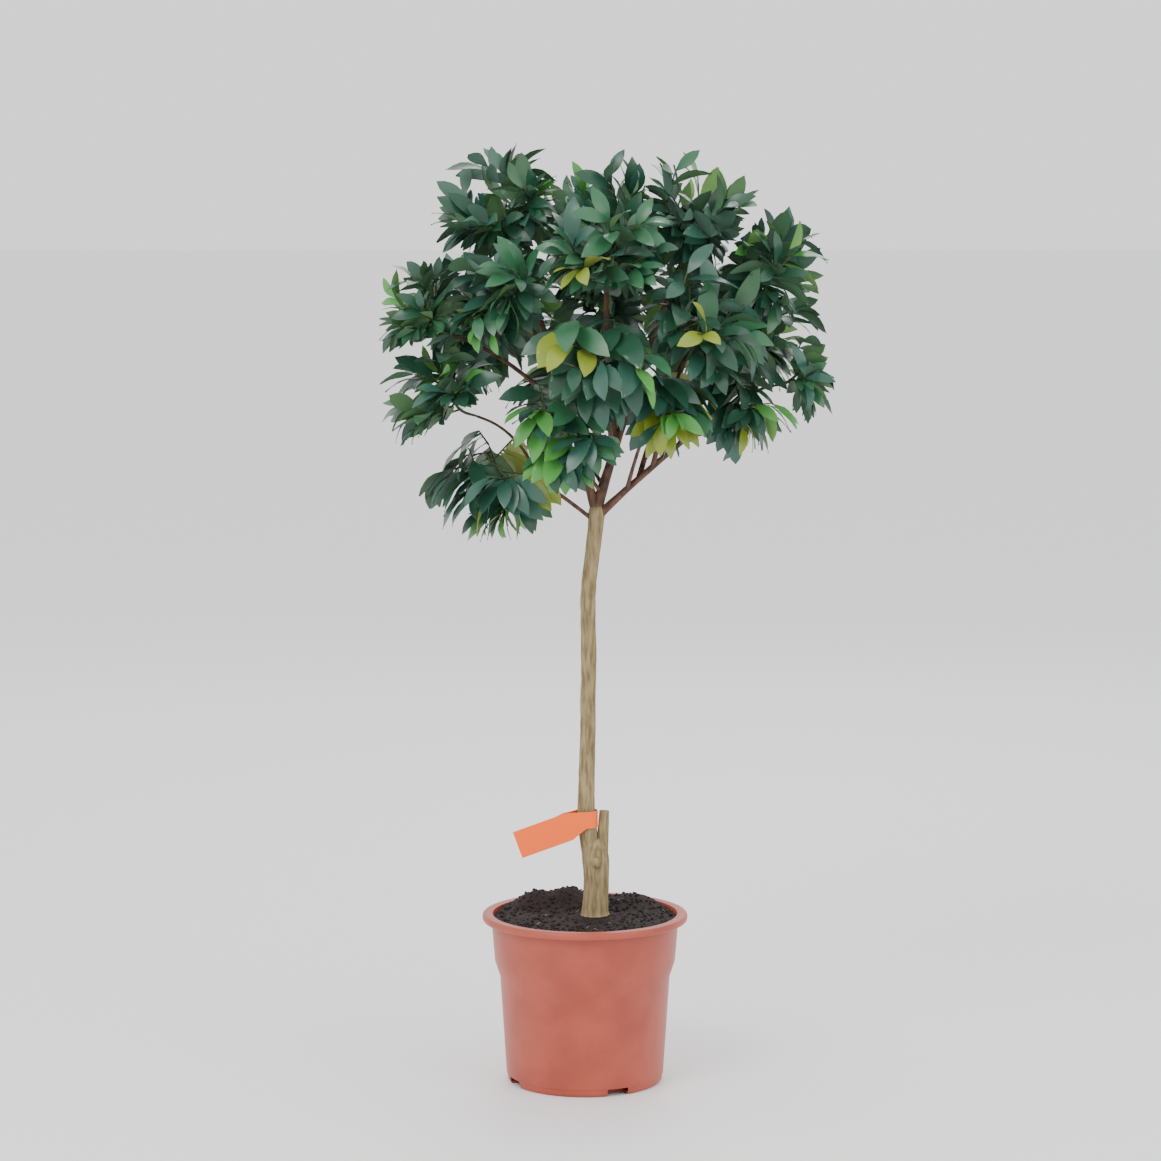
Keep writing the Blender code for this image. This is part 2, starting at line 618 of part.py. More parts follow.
class Space:
    """The space that a mass keeps to: nearer to it than to its neighbours, within its reach, clear of limbs."""

    def __init__(self, mass, limbs):
        self.centre = Vector(mass.centre)
        self.reach = mass.reach
        self.limbs = limbs
        self.taken = []
        self.middles = []
        self.walls = []
        for other in MASSES:
            apart = Vector(other.centre) - self.centre
            if 0 < apart.length:
                limit = (apart.length**2 + mass.reach**2 - other.reach**2) / (2 * apart.length)
                self.walls.append((apart.normalized(), limit - SPACE_MARGIN))

    def holds(self, points):
        """True if all the points lie inside the walls and the reach."""
        for point in points:
            away = point - self.centre
            if away.length > self.reach or any(away.dot(wall) > limit for wall, limit in self.walls):
                return False
        return True

    def free_run(self, start, way):
        """How far one can go that way before leaving the space."""
        step = self.reach / 12
        run = 0.0
        while self.holds([start + way * (run + step)]):
            run += step
        return run

    def touches_limb(self, shape):
        """True if the shape comes too near a limb."""
        return bool(self.limbs.overlap(shape_tree(shape)))

    def room(self, point):
        """How far the point is from the middle of the nearest leaf or fruit."""
        return min(((point - middle).length for middle in self.middles), default=self.reach)

    def admits(self, shape):
        """True if the shape keeps inside the space and off the limbs, the twigs, the other leaves and the fruit."""
        if not self.holds(shape[0]) or self.touches_limb(shape):
            return False
        tree = shape_tree(off_root(shape))
        return not any(tree.overlap(other) for other in self.taken)

    def take(self, shape):
        """Keeps the place of a leaf or fruit."""
        self.taken.append(shape_tree(off_root(shape)))
        self.middles.append(sum(shape[0], Vector()) / len(shape[0]))


def off_root(shape):
    """A leaf or fruit without the part next to its root, which meets its own twig."""
    corners, faces = shape
    middle = sum(corners, Vector()) / len(corners)
    return [corners[0].lerp(middle, ROOT_PART)] + corners[1:], faces


def outward_axis(mass):
    """The way a mass faces: away from the crown's heart and a little up."""
    away = Vector(mass.centre) - CROWN_HEART
    away.z += 0.3 * away.length
    return away.normalized()


def cone_direction(axis, k, count):
    """The k-th of some directions spread evenly over a cone round the axis."""
    polar = math.acos(1 - (k + 0.5) / count * (1 - math.cos(SHOOT_CONE)))
    side = Quaternion(axis, k * GOLDEN_ANGLE) @ axis.orthogonal().normalized()
    return axis * math.cos(polar) + side * math.sin(polar)


def leaf_pose(way, turn, spread, mass, point, rng):
    """The direction of a leaf that leaves a twig, and the way its upper side faces."""
    side = Quaternion(way, turn) @ way.orthogonal().normalized()
    along = way * math.cos(spread) + side * math.sin(spread)
    along = (along - Vector((0, 0, mass.hang))).normalized()
    away = point - CROWN_HEART
    away.z = 0
    face = Vector((0, 0, FACE_UP)) + away.normalized() * FACE_OUT
    face += Vector((rng.uniform(-1, 1), rng.uniform(-1, 1), 0)) * FACE_STRAY
    face -= along * face.dot(along)
    return along, face.normalized()


def grow_shoot(mass, space, start, way, rng):
    """A shoot's axis and shape, or nothing where it would leave the space or hardly grow."""
    free = space.free_run(start, way)
    length = min(free * SHOOT_SHARE, mass.reach * SHOOT_REACH) * rng.uniform(0.9, 1.08)
    line = [start, start + (way + Vector((0, 0, 0.10 - 0.15 * mass.hang))) * length]
    twig = tube(line, [TWIG_RADIUS, TWIG_TIP_RADIUS], TWIG_SIDES)
    if length < SHOOT_SHORTEST or not space.holds(twig[0]) or space.touches_limb(twig):
        return None
    return line, twig


def grow_leaves(mass, space, line, rng):
    """The shapes of a shoot's leaves, each turned to where it has the most room."""
    heading = (line[1] - line[0]).normalized()
    leaves = []
    for i in range(mass.leaves):
        share = 0.985 if i == mass.leaves - 1 else 0.22 + 0.72 * i / (mass.leaves - 1)
        node = along_line(line, share)
        spread = math.radians(75 - 45 * share)
        size = mass.leaf * rng.uniform(0.85, 1.12)
        turn = rng.uniform(0, 2 * math.pi)
        best, best_room = None, 0.0
        for k in range(LEAF_TURNS):
            opening = spread * (1.0 + 0.25 * ((k % 3) - 1))
            along, face = leaf_pose(heading, turn + k * GOLDEN_ANGLE, opening, mass, node, rng)
            room = space.room(node + along * size * 0.6)
            if room < best_room:
                continue
            for shorten in LEAF_LENGTHS:
                shape = leaf_shape(node, along, face, size * shorten)
                if space.admits(shape):
                    best, best_room = shape, room
                    break
        if best:
            space.take(best)
            leaves.append(best)
    return leaves


def grow_stem(mass, space, route):
    """The stem's axis and shape: from just past its limb's tip to beyond the middle of the mass, round other limbs."""
    points, radii = route
    ahead = (points[-1] - points[-2]).normalized()
    start = points[-1] + ahead * GAP
    centre = Vector(mass.centre)
    reach = (centre - start).length
    across = ahead.orthogonal().normalized()
    thickness = [min(STEM_RADIUS, radii[-1]), STEM_RADIUS * 0.95, STEM_RADIUS * 0.75]
    for k in range(STEM_TRIES):
        aside = Quaternion(ahead, k * GOLDEN_ANGLE) @ across * reach * STEM_SIDESTEP * k
        end = centre + (centre - start) * 0.2 + aside
        line = [start, start + ahead * reach * 0.5 + aside * 0.2, end]
        shape = tube(line, thickness, STEM_SIDES)
        if not space.touches_limb(shape):
            return line, shape
    raise RuntimeError(f"{mass.name} has no way round the limbs for its stem")


def grow_fruit(mass, space, lines, rng):
    """The shapes of a mass's fruit, that hang or stand near the ends of its shoots."""
    fruits = []
    for attempt in range(FRUIT_TRIES):
        if len(fruits) == mass.fruits or not lines:
            break
        node = along_line(lines[attempt % len(lines)], rng.uniform(0.6, 0.97))
        away = (node - CROWN_HEART).normalized() * 0.9
        way = away + Vector((rng.uniform(-1, 1), rng.uniform(-1, 1), rng.uniform(-1.2, 0.6)))
        shape = fruit_shape(node - way.normalized() * 0.0006, way.normalized())
        if space.admits(shape):
            space.take(shape)
            fruits.append(shape)
    return fruits


def grow_mass(mass, routes, limbs, number, leaf_green):
    """One mass of foliage: its stem, the shoots that fan out from it, their leaves and the fruit, all fused."""
    rng = random.Random(number)
    space = Space(mass, limbs)
    stem, stem_shape = grow_stem(mass, space, routes[mass.limb])
    base = add_object(mass.name, *stem_shape, leaf_green)
    axis = outward_axis(mass)
    shoots = []
    for k in range(mass.shoots):
        start = along_line(stem, 0.45 + 0.53 * k / mass.shoots)
        shoot = grow_shoot(mass, space, start, cone_direction(axis, k, mass.shoots), rng)
        if shoot:
            shoots.append(shoot)
            space.taken.append(shape_tree(shoot[1]))
    lines = [line for line, _ in shoots]
    shapes = [twig for _, twig in shoots]
    for line in lines:
        shapes += grow_leaves(mass, space, line, rng)
    leaf_count = len(shapes) - len(lines)
    fruits = grow_fruit(mass, space, lines, rng)
    others = [add_object(f"{mass.name}_{i}", *shape, leaf_green) for i, shape in enumerate(shapes + fruits)]
    combine(base, others, "UNION")
    print(mass.name, "shoots", len(lines), "of", mass.shoots, "leaves", leaf_count, "fruits", len(fruits),
          "triangles", sum(len(p.vertices) - 2 for p in base.data.polygons))
    return base


def limbs_tree(routes):
    """A search tree of the trunk and all limbs, each thicker by a clearance."""
    corners, faces = [], []
    for name, (points, radii) in routes.items():
        ahead = (points[-1] - points[-2]).normalized() * GAP * 0.5
        run = points[:-1] + [points[-1] + ahead]
        shape = tube(run, [radius + 3 * GAP for radius in radii], LIMB_SIDES)
        faces += [tuple(i + len(corners) for i in face) for face in shape[1]]
        corners += shape[0]
    return BVHTree.FromPolygons(corners, faces)


def main():
    for old in list(bpy.data.objects):
        bpy.data.objects.remove(old)
    plastic = material("terracotta_plastic", (0.36, 0.075, 0.035), 0.45)
    peat = material("peat_soil", (0.022, 0.013, 0.010), 0.95)
    bark = material("bark", (0.24, 0.16, 0.09), 0.85)
    film = material("orange_film", (1.00, 0.16, 0.01), 0.40)
    leaf_green = material("leaf_green", (0.022, 0.085, 0.040), 0.35)
    build_pot(plastic)
    build_soil(peat)
    build_trunk(bark)
    build_tag(film)
    routes = limb_routes()
    build_limbs(routes, bark)
    limbs = limbs_tree(routes)
    for number, mass in enumerate(MASSES):
        grow_mass(mass, routes, limbs, number, leaf_green)


main()
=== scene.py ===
"""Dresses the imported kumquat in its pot: bark, leaves, fruit, peat, moulded plastic and the tag.

The limbs, the shoots and the space of each mass of foliage come from the same named sizes and the same rule
as the solids, seeded in the same way and carried on to finer twigs and more leaves.
"""

import json
import math
import random
from typing import NamedTuple

import bmesh
import bpy
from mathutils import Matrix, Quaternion, Vector, noise
from mathutils.bvhtree import BVHTree

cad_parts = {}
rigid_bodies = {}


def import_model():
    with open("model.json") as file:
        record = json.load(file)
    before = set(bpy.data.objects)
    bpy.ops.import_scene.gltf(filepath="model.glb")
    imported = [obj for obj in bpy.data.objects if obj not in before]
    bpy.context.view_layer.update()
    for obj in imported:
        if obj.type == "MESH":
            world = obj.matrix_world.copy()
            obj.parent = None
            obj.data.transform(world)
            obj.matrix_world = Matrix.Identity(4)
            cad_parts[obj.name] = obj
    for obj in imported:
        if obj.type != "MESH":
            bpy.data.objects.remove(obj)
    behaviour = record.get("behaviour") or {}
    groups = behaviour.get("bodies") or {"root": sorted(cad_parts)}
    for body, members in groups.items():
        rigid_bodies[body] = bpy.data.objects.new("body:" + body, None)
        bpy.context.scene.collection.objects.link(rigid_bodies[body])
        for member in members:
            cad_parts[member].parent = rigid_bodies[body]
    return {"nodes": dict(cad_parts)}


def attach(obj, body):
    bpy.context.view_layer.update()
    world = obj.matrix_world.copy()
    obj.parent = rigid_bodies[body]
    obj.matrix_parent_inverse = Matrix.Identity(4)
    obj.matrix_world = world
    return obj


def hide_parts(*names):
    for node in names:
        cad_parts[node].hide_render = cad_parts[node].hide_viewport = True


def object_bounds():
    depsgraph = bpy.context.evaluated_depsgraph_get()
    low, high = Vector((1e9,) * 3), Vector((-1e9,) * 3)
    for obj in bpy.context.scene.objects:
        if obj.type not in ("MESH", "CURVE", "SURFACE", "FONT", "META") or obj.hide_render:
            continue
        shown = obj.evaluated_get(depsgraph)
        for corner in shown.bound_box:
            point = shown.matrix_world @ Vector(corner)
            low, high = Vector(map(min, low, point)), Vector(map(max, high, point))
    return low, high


bl_info = {
    "name": "Kumquat in a pot",
    "version": (1, 0, 0),
    "blender": (4, 5, 0),
    "location": "View3D > Sidebar > Kumquat",
    "description": "Builds the bark, leaves, fruit, soil, pot and tag of a potted kumquat",
    "category": "Add Mesh",
}

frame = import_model()
CAD_LOW, CAD_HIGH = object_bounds()
FOLIAGE_NODES = [name for name in frame["nodes"] if name.startswith("foliage_")]
WOOD_NODES = [name for name in frame["nodes"] if name.startswith(("bough_", "branch_", "trunk"))]

# The clearance between neighbouring solids in the part's source
GAP = 0.0003

# Pot
POT_HEIGHT = 0.182
RIM_RADIUS = 0.110
RIM_HEIGHT = 0.008
RIM_ROUNDING = 0.0030
COLLAR_TOP_RADIUS = 0.1010
COLLAR_FOOT_RADIUS = 0.0968
COLLAR_FOOT_HEIGHT = 0.131
STEP_FOOT_HEIGHT = 0.114
STEP_FOOT_RADIUS = 0.0912
FOOT_RADIUS = 0.0838
FOOT_BAND_HEIGHT = 0.0085
FOOT_BAND_SET_BACK = 0.0006
FOOT_ROUNDING = 0.0040
WALL = 0.0020
FLOOR = 0.0030
POT_SKIN_SEGMENTS = 144
FOOT_ARC_STEPS = 8
RIM_ARC_STEPS = 6
RIM_INNER_LIP = 0.0010
RIM_INNER_DROP = 0.0005
POT_CREASE = math.radians(28)
DRAIN_COUNT = 4
DRAIN_FIRST_ANGLE = math.radians(25)
DRAIN_WIDTH = 0.024
DRAIN_HEIGHT = 0.0080
DRAIN_INNER_RADIUS = 0.068
DRAIN_BELOW = 0.002

# Soil
GROUND_LEVEL = 0.1790
SOIL_EDGE_FRONT = 0.1725
SOIL_EDGE_BACK = 0.1800
# Heaps in the soil: x, y, height over the ground level, half width
SOIL_HEAPS = (
    (-0.055, 0.046, 0.017, 0.022),
    (-0.016, 0.060, 0.018, 0.024),
    (0.050, 0.064, 0.009, 0.030),
    (-0.070, -0.010, 0.003, 0.022),
    (0.060, -0.035, 0.002, 0.026),
)
PEAT_RINGS = 64
PEAT_SIDES = 160
PEAT_CLEARANCE = 0.0006
# Roughness of the peat's surface: where its noise is read, how many bumps a metre, and how high
PEAT_ROUGHNESS = ((0, 210, 0.0016), (3, 620, 0.0006))
# The level ground round the trunk's foot: its radius, and the width over which the heaps set in
PEAT_SEAT = 0.012
PEAT_SEAT_EDGE = 0.020
CRUMB_COUNT = 700
CRUMB_SPREAD = 0.96
CRUMB_SIZES = (0.0008, 0.0026)
CRUMB_SUNK = 0.3
CRUMB_OFF_TRUNK = 0.018
# A crumb's rings along its axis: radius as a share of its size
CRUMB_PROFILE = (0.35, 0.8, 0.75, 0.3)
CRUMB_SIDES = 5
FIBRE_SHARE = 0.03
FIBRE_LENGTH = 3
FIBRE_RADII = (0.0003, 0.0002)

# Trunk: height, sideways offset, depth offset and radius of each station, from the flat cut upwards
ROOTSTOCK = (
    (GROUND_LEVEL + GAP, 0.0110, 0.000, 0.0158),
    (0.1850, 0.0110, 0.000, 0.0143),
    (0.2050, 0.0120, 0.000, 0.0134),
    (0.2280, 0.0118, 0.000, 0.0137),
    (0.2420, 0.0110, 0.000, 0.0142),
    (0.2540, 0.0096, 0.000, 0.0125),
    (0.2620, 0.0085, 0.000, 0.0070),
)
SCION = (
    (0.2420, 0.0070, 0.000, 0.0095),
    (0.2640, 0.0040, 0.000, 0.0098),
    (0.2900, 0.0012, 0.000, 0.0092),
    (0.3300, 0.0018, 0.001, 0.0086),
    (0.3690, 0.0028, 0.002, 0.0083),
    (0.4120, 0.0033, 0.001, 0.0081),
    (0.4550, 0.0042, 0.000, 0.0080),
    (0.4980, 0.0033, -0.001, 0.0079),
    (0.5240, 0.0034, -0.001, 0.0078),
    (0.5490, 0.0054, 0.000, 0.0078),
    (0.5750, 0.0085, 0.000, 0.0078),
    (0.6000, 0.0112, 0.000, 0.0082),
    (0.6120, 0.0124, 0.000, 0.0088),
    (0.6185, 0.0128, 0.000, 0.0074),
    (0.6215, 0.0130, 0.000, 0.0040),
)
STUB_FOOT = Vector((0.0170, 0.001, 0.2250))
STUB_TOP = Vector((0.0206, 0.003, 0.2920))
STUB_FOOT_RADIUS = 0.0072
STUB_TOP_RADIUS = 0.0052
KNOT_HEIGHT = 0.2390
KNOT_RADIUS = 0.0052
KNOT_DEPTH = 0.0170
KNOT_STATION = 4
KNOT_ASIDE = 0.001
KNOT_BACK = 0.010
KNOT_FOOT = 1.3
KNOT_TAPER = 0.05

# Bark: sides and steps of each skin, then how fine and how deep its fissures and swellings are
TRUNK_SKIN_SIDES = 64
ROOTSTOCK_STEPS = 12
SCION_STEPS = 22
TRUNK_GRAIN = 1.6
STUB_SKIN_SIDES = 28
STUB_STEPS = 24
STUB_RELIEF = 0.6
STUB_GRAIN = 1.3
KNOT_SKIN_SIDES = 24
KNOT_STEPS = 6
KNOT_RELIEF = 0.0004
LIMB_SKIN_SIDES = 14
LIMB_SKIN_STEPS = 10
LIMB_GRAIN = 1.2
FISSURE_ACROSS = 2.2
FISSURE_ALONG = 60
FISSURE_LIMIT = 0.35
FISSURE_DEPTH = 1.5
SWELL_ACROSS = 0.5
SWELL_ALONG = 22
SWELL_PLACE = Vector((3, 7, 0))
SWELL_DEPTH = 0.5
SKIN_SUNK = 0.3

# Tag: a strip stuck to itself round the trunk
TAG_TILT = math.radians(20)
TAG_WIDTH = 0.0300
TAG_LOOP_WIDTH = 0.0180
TAG_FLAG_LENGTH = 0.0740
TAG_THICKNESS = 0.0005
TAG_LOOP_X = 0.0020
TAG_LOOP_HEIGHT = 0.2840
TAG_LOOP_RADIUS = 0.0115
TAG_TAIL_LENGTH = 0.0160
TAG_TAIL_GAP = 0.0012
TAG_FLAG_STEPS = 5
TAG_LOOP_STEPS = 14
TAG_LOOP_TURN = 250
TAG_BEND_AT = 0.45
TAG_BEND_ASIDE = -0.0012
TAG_SKIN_STEPS = 6
# How far from the loop the strip takes to reach its full tilt and width
TAG_TURN_RUN = 0.02

# Limbs
LIMB_SIDES = 5
LIMB_STATIONS = 5
LIMB_TIP_AT = 0.50
BRANCH_COLLAR = 1.25
BRANCH_COLLAR_LENGTH = 0.12

# Crown
CROWN_HEART = Vector((0.020, 0.010, 0.770))
MASS_LIFT = 0.3
SPACE_MARGIN = 0.0004
SPACE_STEPS = 12
GOLDEN_ANGLE = math.pi * (3 - math.sqrt(5))

# Twigs
STEM_RADIUS = 0.0021
STEM_SIDES = 4
STEM_TRIES = 16
STEM_SIDESTEP = 0.10
STEM_TAPER = (0.95, 0.75)
STEM_PAST_MIDDLE = 0.2
STEM_BEND = (0.5, 0.2)
STEM_SKIN_STEPS = 6
STEM_SKIN_SIDES = 8
STEM_SKIN_TAPER = (0.9, 0.8, 0.6)
STEM_RELIEF = 0.0001
TWIG_RADIUS = 0.0012
TWIG_TIP_RADIUS = 0.0010
TWIG_SIDES = 3
TWIG_SKIN_SIDES = 6
TWIG_POINT = 0.7
SHOOT_CONE = math.radians(125)
SHOOT_SHARE = 0.56
SHOOT_REACH = 0.80
SHOOT_SHORTEST = 0.010
SHOOT_LENGTHS = (0.9, 1.08)
SHOOT_LIFT = 0.10
SHOOT_SAG = 0.15
# Where shoots leave the stem and side shoots leave their shoot: the first one's place, and the run or step on
STEM_SHOOTS = (0.45, 0.53)
SIDE_SHOOT_PLACES = (0.35, 0.3)
SIDE_SHOOTS = 3

# Leaves
LEAF_WIDTH = 0.45
LEAF_SHOULDER_AT = 0.33
LEAF_SHOULDER_RISE = 0.085
LEAF_CHEEK_AT = 0.66
LEAF_CHEEK_WIDTH = 0.86
LEAF_CHEEK_RISE = 0.100
LEAF_TWIST = 0.012
LEAF_TURNS = 12
LEAF_LENGTHS = (1.0, 0.85, 0.70)
FACE_UP = 0.65
FACE_OUT = 0.7
FACE_STRAY = 0.9
ROOT_PART = 0.30
LEAVES_ON_SHOOT = 12
LEAVES_ON_SIDE_SHOOT = 7
LEAVES_IN_PIECE = 1400
LEAF_SCALE = 0.90
LEAF_SIZES = (0.80, 1.10)
# Places of a shoot's leaves: the first one's, the run of the others, and the last one's near the tip
LEAF_PLACES = (0.16, 0.78, 0.985)
# Degrees that a leaf spreads from its shoot: at the foot, and how many fewer at the tip
LEAF_SPREAD = (75, 45)
LEAF_OPENING = 0.25
LEAF_MIDDLE = 0.6

# A leaf's blade, in shares of its length, with its thickness in metres
BLADE_WIDTH = 0.37
BLADE_STEPS = 6
BLADE_COLUMNS = (-1.0, -0.5, 0.0, 0.5, 1.0)
BLADE_THICKNESS = 0.00035
BLADE_STALK = 0.12
BLADE_STALK_HALF = 0.012
BLADE_STALK_FLARE = 0.10
BLADE_START = 0.06
BLADE_RUN = 0.945
BLADE_FULLNESS = 0.72
BLADE_NARROWEST = 0.006
BLADE_ARCH = 0.40
BLADE_FOLD = 0.10
BLADE_WAVE = 0.012
BLADE_WAVES = 9
BLADE_WAVE_SHIFT = 2
BLADE_WAVINESS = (0.4, 1.6)

# Fruit
FRUIT_LENGTH = 0.0205
FRUIT_WIDTH = 0.0170
FRUIT_SKIN_RINGS = 12
FRUIT_SKIN_SIDES = 18
FRUIT_STALK = 0.001
FRUIT_POLE = 0.0004
FRUIT_AT = 0.95
FRUIT_TILT = (-0.8, 0.6)
FRUIT_SIZES = (0.85, 1.0)

# Tones of the leaves, as the colours of their upper side and their underside
LEAF_TONES = (
    ("waxy_leaf_dark", "#234b37", "#4b6f52"),
    ("waxy_leaf_blue_green", "#2b5546", "#557767"),
    ("waxy_leaf_mid_green", "#316443", "#5a8054"),
    ("waxy_leaf_fresh_green", "#4b8f41", "#74a05a"),
    ("waxy_leaf_yellow_green", "#82922f", "#98a552"),
)
# How often each tone comes, in the hanging masses and the far right one, and in the others
TONE_SHARES_LOW = (38, 26, 20, 8, 8)
TONE_SHARES = (42, 30, 20, 7, 1)

# Stage: lamps as name, place, power and size, and the camera that matches the photograph
WORLD_LIGHT = 1.35
LAMPS = (
    ("key", (-1.6, -2.2, 2.6), 55, 1.6),
    ("fill", (2.2, -1.8, 1.6), 22, 1.8),
    ("back", (0.4, 2.4, 2.4), 25, 1.6),
)
LAMP_TARGET = Vector((0, 0, 0.6))
FLOOR_CORNERS = ((-30, -6, 0), (30, -6, 0), (30, 60, 0), (-30, 60, 0))
CAMERA_ASIDE = -0.0048
SENSOR_WIDTH = 36


class Limb(NamedTuple):
    """A tapering limb: where it leaves its parent, and its tip or the mass that it carries."""

    name: str
    parent: str
    at: float
    base_radius: float
    tip_radius: float
    bow: tuple
    tip: tuple = None


class Mass(NamedTuple):
    """A mass of foliage: its limb, its middle, how far it reaches, and how its shoots and leaves grow."""

    name: str
    limb: str
    centre: tuple
    reach: float
    shoots: int
    leaf: float
    hang: float
    fruits: int = 0


# bow is how far the middle of the limb is pushed sideways, in depth and up from its straight run
LIMBS = (
    Limb("bough_left", "trunk", 0.85, 0.0046, 0.0021, (0.003, 0.000, 0.000)),
    Limb("bough_centre", "trunk", 0.93, 0.0052, 0.0022, (-0.003, 0.004, 0.000)),
    Limb("bough_right", "trunk", 0.83, 0.0043, 0.0020, (0.000, -0.003, 0.003)),
    Limb("bough_low_left", "trunk", 0.80, 0.0023, 0.0019, (0, 0, 0.001), (-0.0505, -0.006, 0.6490)),
    Limb("bough_inner_front", "bough_centre", 0.060, 0.0020, 0.0015, (-0.004, 0.006, 0.000)),
    Limb("bough_inner_back", "bough_centre", 0.085, 0.0020, 0.0015, (-0.006, 0.000, 0.000)),
    Limb("branch_upper_left", "bough_left", 0.52, 0.0026, 0.0017, (0, 0, 0.010)),
    Limb("branch_far_left", "bough_left", 0.36, 0.0028, 0.0017, (0, 0, 0.012)),
    Limb("branch_back_left", "bough_left", 0.42, 0.0028, 0.0017, (0, 0, 0.012)),
    Limb("branch_left_hanging", "bough_low_left", 0.93, 0.0017, 0.0014, (0, 0, 0.006)),
    Limb("branch_left_low", "bough_low_left", 0.97, 0.0017, 0.0014, (0.006, 0, 0.010)),
    Limb("branch_top_middle", "bough_centre", 0.26, 0.0034, 0.0019, (-0.006, 0, 0.000)),
    Limb("branch_centre_front", "bough_centre", 0.20, 0.0027, 0.0017, (0, -0.006, 0.012)),
    Limb("branch_back_middle", "bough_centre", 0.34, 0.0029, 0.0018, (0, 0.010, 0.012)),
    Limb("branch_upper_front", "branch_top_middle", 0.32, 0.0023, 0.0016, (0, -0.006, 0.012)),
    Limb("branch_top_back", "branch_top_middle", 0.48, 0.0022, 0.0016, (0, 0.006, 0.012)),
    Limb("branch_lower_front", "bough_right", 0.26, 0.0021, 0.0015, (0, -0.004, 0.006)),
    Limb("branch_back_right", "bough_right", 0.36, 0.0027, 0.0017, (0, 0.006, 0.014)),
    Limb("branch_right_front", "bough_right", 0.48, 0.0025, 0.0017, (0, -0.006, 0.014)),
    Limb("branch_right_shoulder", "bough_right", 0.58, 0.0023, 0.0016, (-0.008, 0, 0.010)),
    Limb("branch_right_side", "bough_right", 0.70, 0.0021, 0.0015, (0, 0.004, 0.010)),
    Limb("branch_far_right", "bough_right", 0.82, 0.0018, 0.0014, (0, 0.006, 0.008)),
)

MASSES = (
    Mass("foliage_top_left", "bough_left", (-0.082, 0.000, 0.927), 0.082, 6, 0.056, 0.20, 2),
    Mass("foliage_top_right", "bough_centre", (0.113, 0.000, 0.912), 0.086, 6, 0.056, 0.30, 2),
    Mass("foliage_right_low", "bough_right", (0.165, -0.010, 0.740), 0.076, 5, 0.062, 1.10, 0),
    Mass("foliage_lower_left", "bough_inner_front", (-0.022, -0.085, 0.715), 0.078, 5, 0.060, 1.00, 0),
    Mass("foliage_back_low", "bough_inner_back", (-0.015, 0.110, 0.740), 0.084, 5, 0.062, 1.00, 1),
    Mass("foliage_upper_left", "branch_upper_left", (-0.088, -0.050, 0.848), 0.076, 5, 0.058, 0.60, 1),
    Mass("foliage_far_left", "branch_far_left", (-0.165, -0.010, 0.820), 0.066, 6, 0.046, 0.25, 1),
    Mass("foliage_back_left", "branch_back_left", (-0.095, 0.100, 0.820), 0.092, 6, 0.060, 0.60, 1),
    Mass("foliage_left_hanging", "branch_left_hanging", (-0.098, -0.015, 0.674), 0.094, 6, 0.070, 1.30, 0),
    Mass("foliage_left_low", "branch_left_low", (-0.142, -0.015, 0.745), 0.082, 6, 0.058, 0.80, 1),
    Mass("foliage_top_middle", "branch_top_middle", (0.022, -0.010, 0.915), 0.082, 6, 0.056, 0.30, 1),
    Mass("foliage_centre_front", "branch_centre_front", (0.018, -0.120, 0.790), 0.088, 6, 0.080, 1.10, 0),
    Mass("foliage_back_middle", "branch_back_middle", (0.020, 0.150, 0.820), 0.092, 6, 0.060, 0.60, 2),
    Mass("foliage_upper_front", "branch_upper_front", (0.022, -0.100, 0.880), 0.080, 6, 0.058, 0.50, 0),
    Mass("foliage_top_back", "branch_top_back", (0.020, 0.095, 0.900), 0.084, 6, 0.058, 0.40, 2),
    Mass("foliage_lower_front", "branch_lower_front", (0.078, -0.080, 0.748), 0.076, 5, 0.064, 1.10, 1),
    Mass("foliage_back_right", "branch_back_right", (0.125, 0.110, 0.810), 0.092, 6, 0.060, 0.60, 2),
    Mass("foliage_right_front", "branch_right_front", (0.115, -0.090, 0.815), 0.086, 6, 0.066, 0.90, 1),
    Mass("foliage_right_shoulder", "branch_right_shoulder", (0.180, 0.000, 0.868), 0.080, 6, 0.056, 0.40, 2),
    Mass("foliage_right_side", "branch_right_side", (0.184, 0.035, 0.800), 0.076, 5, 0.060, 0.80, 0),
    Mass("foliage_far_right", "branch_far_right", (0.225, 0.000, 0.762), 0.060, 5, 0.048, 0.80, 0),
)


def side_faces(rings, sides):
    """The four-sided faces between neighbouring rings of corners."""
    faces = []
    for i in range(rings - 1):
        for k in range(sides):
            a, b = i * sides + k, i * sides + (k + 1) % sides
            faces.append((a, b, b + sides, a + sides))
    return faces


def headings(points):
    """The way a line runs at each of its points, and a sideways direction that turns with it."""
    across = (points[1] - points[0]).orthogonal().normalized()
    found = []
    for i in range(len(points)):
        before, after = points[max(i - 1, 0)], points[min(i + 1, len(points) - 1)]
        along = (after - before).normalized()
        across = (across - along * across.dot(along)).normalized()
        found.append((along, across))
    return found


def tube(points, radii, sides):
    """Corner points and faces of a closed tube along the points, with flat ends."""
    corners = []
    for point, radius, (along, across) in zip(points, radii, headings(points)):
        for k in range(sides):
            turn = Quaternion(along, 2 * math.pi * k / sides)
            corners.append(point + turn @ across * radius)
    last = len(corners) - sides
    ends = [tuple(range(sides)), tuple(range(last, len(corners)))]
    return corners, side_faces(len(points), sides) + ends


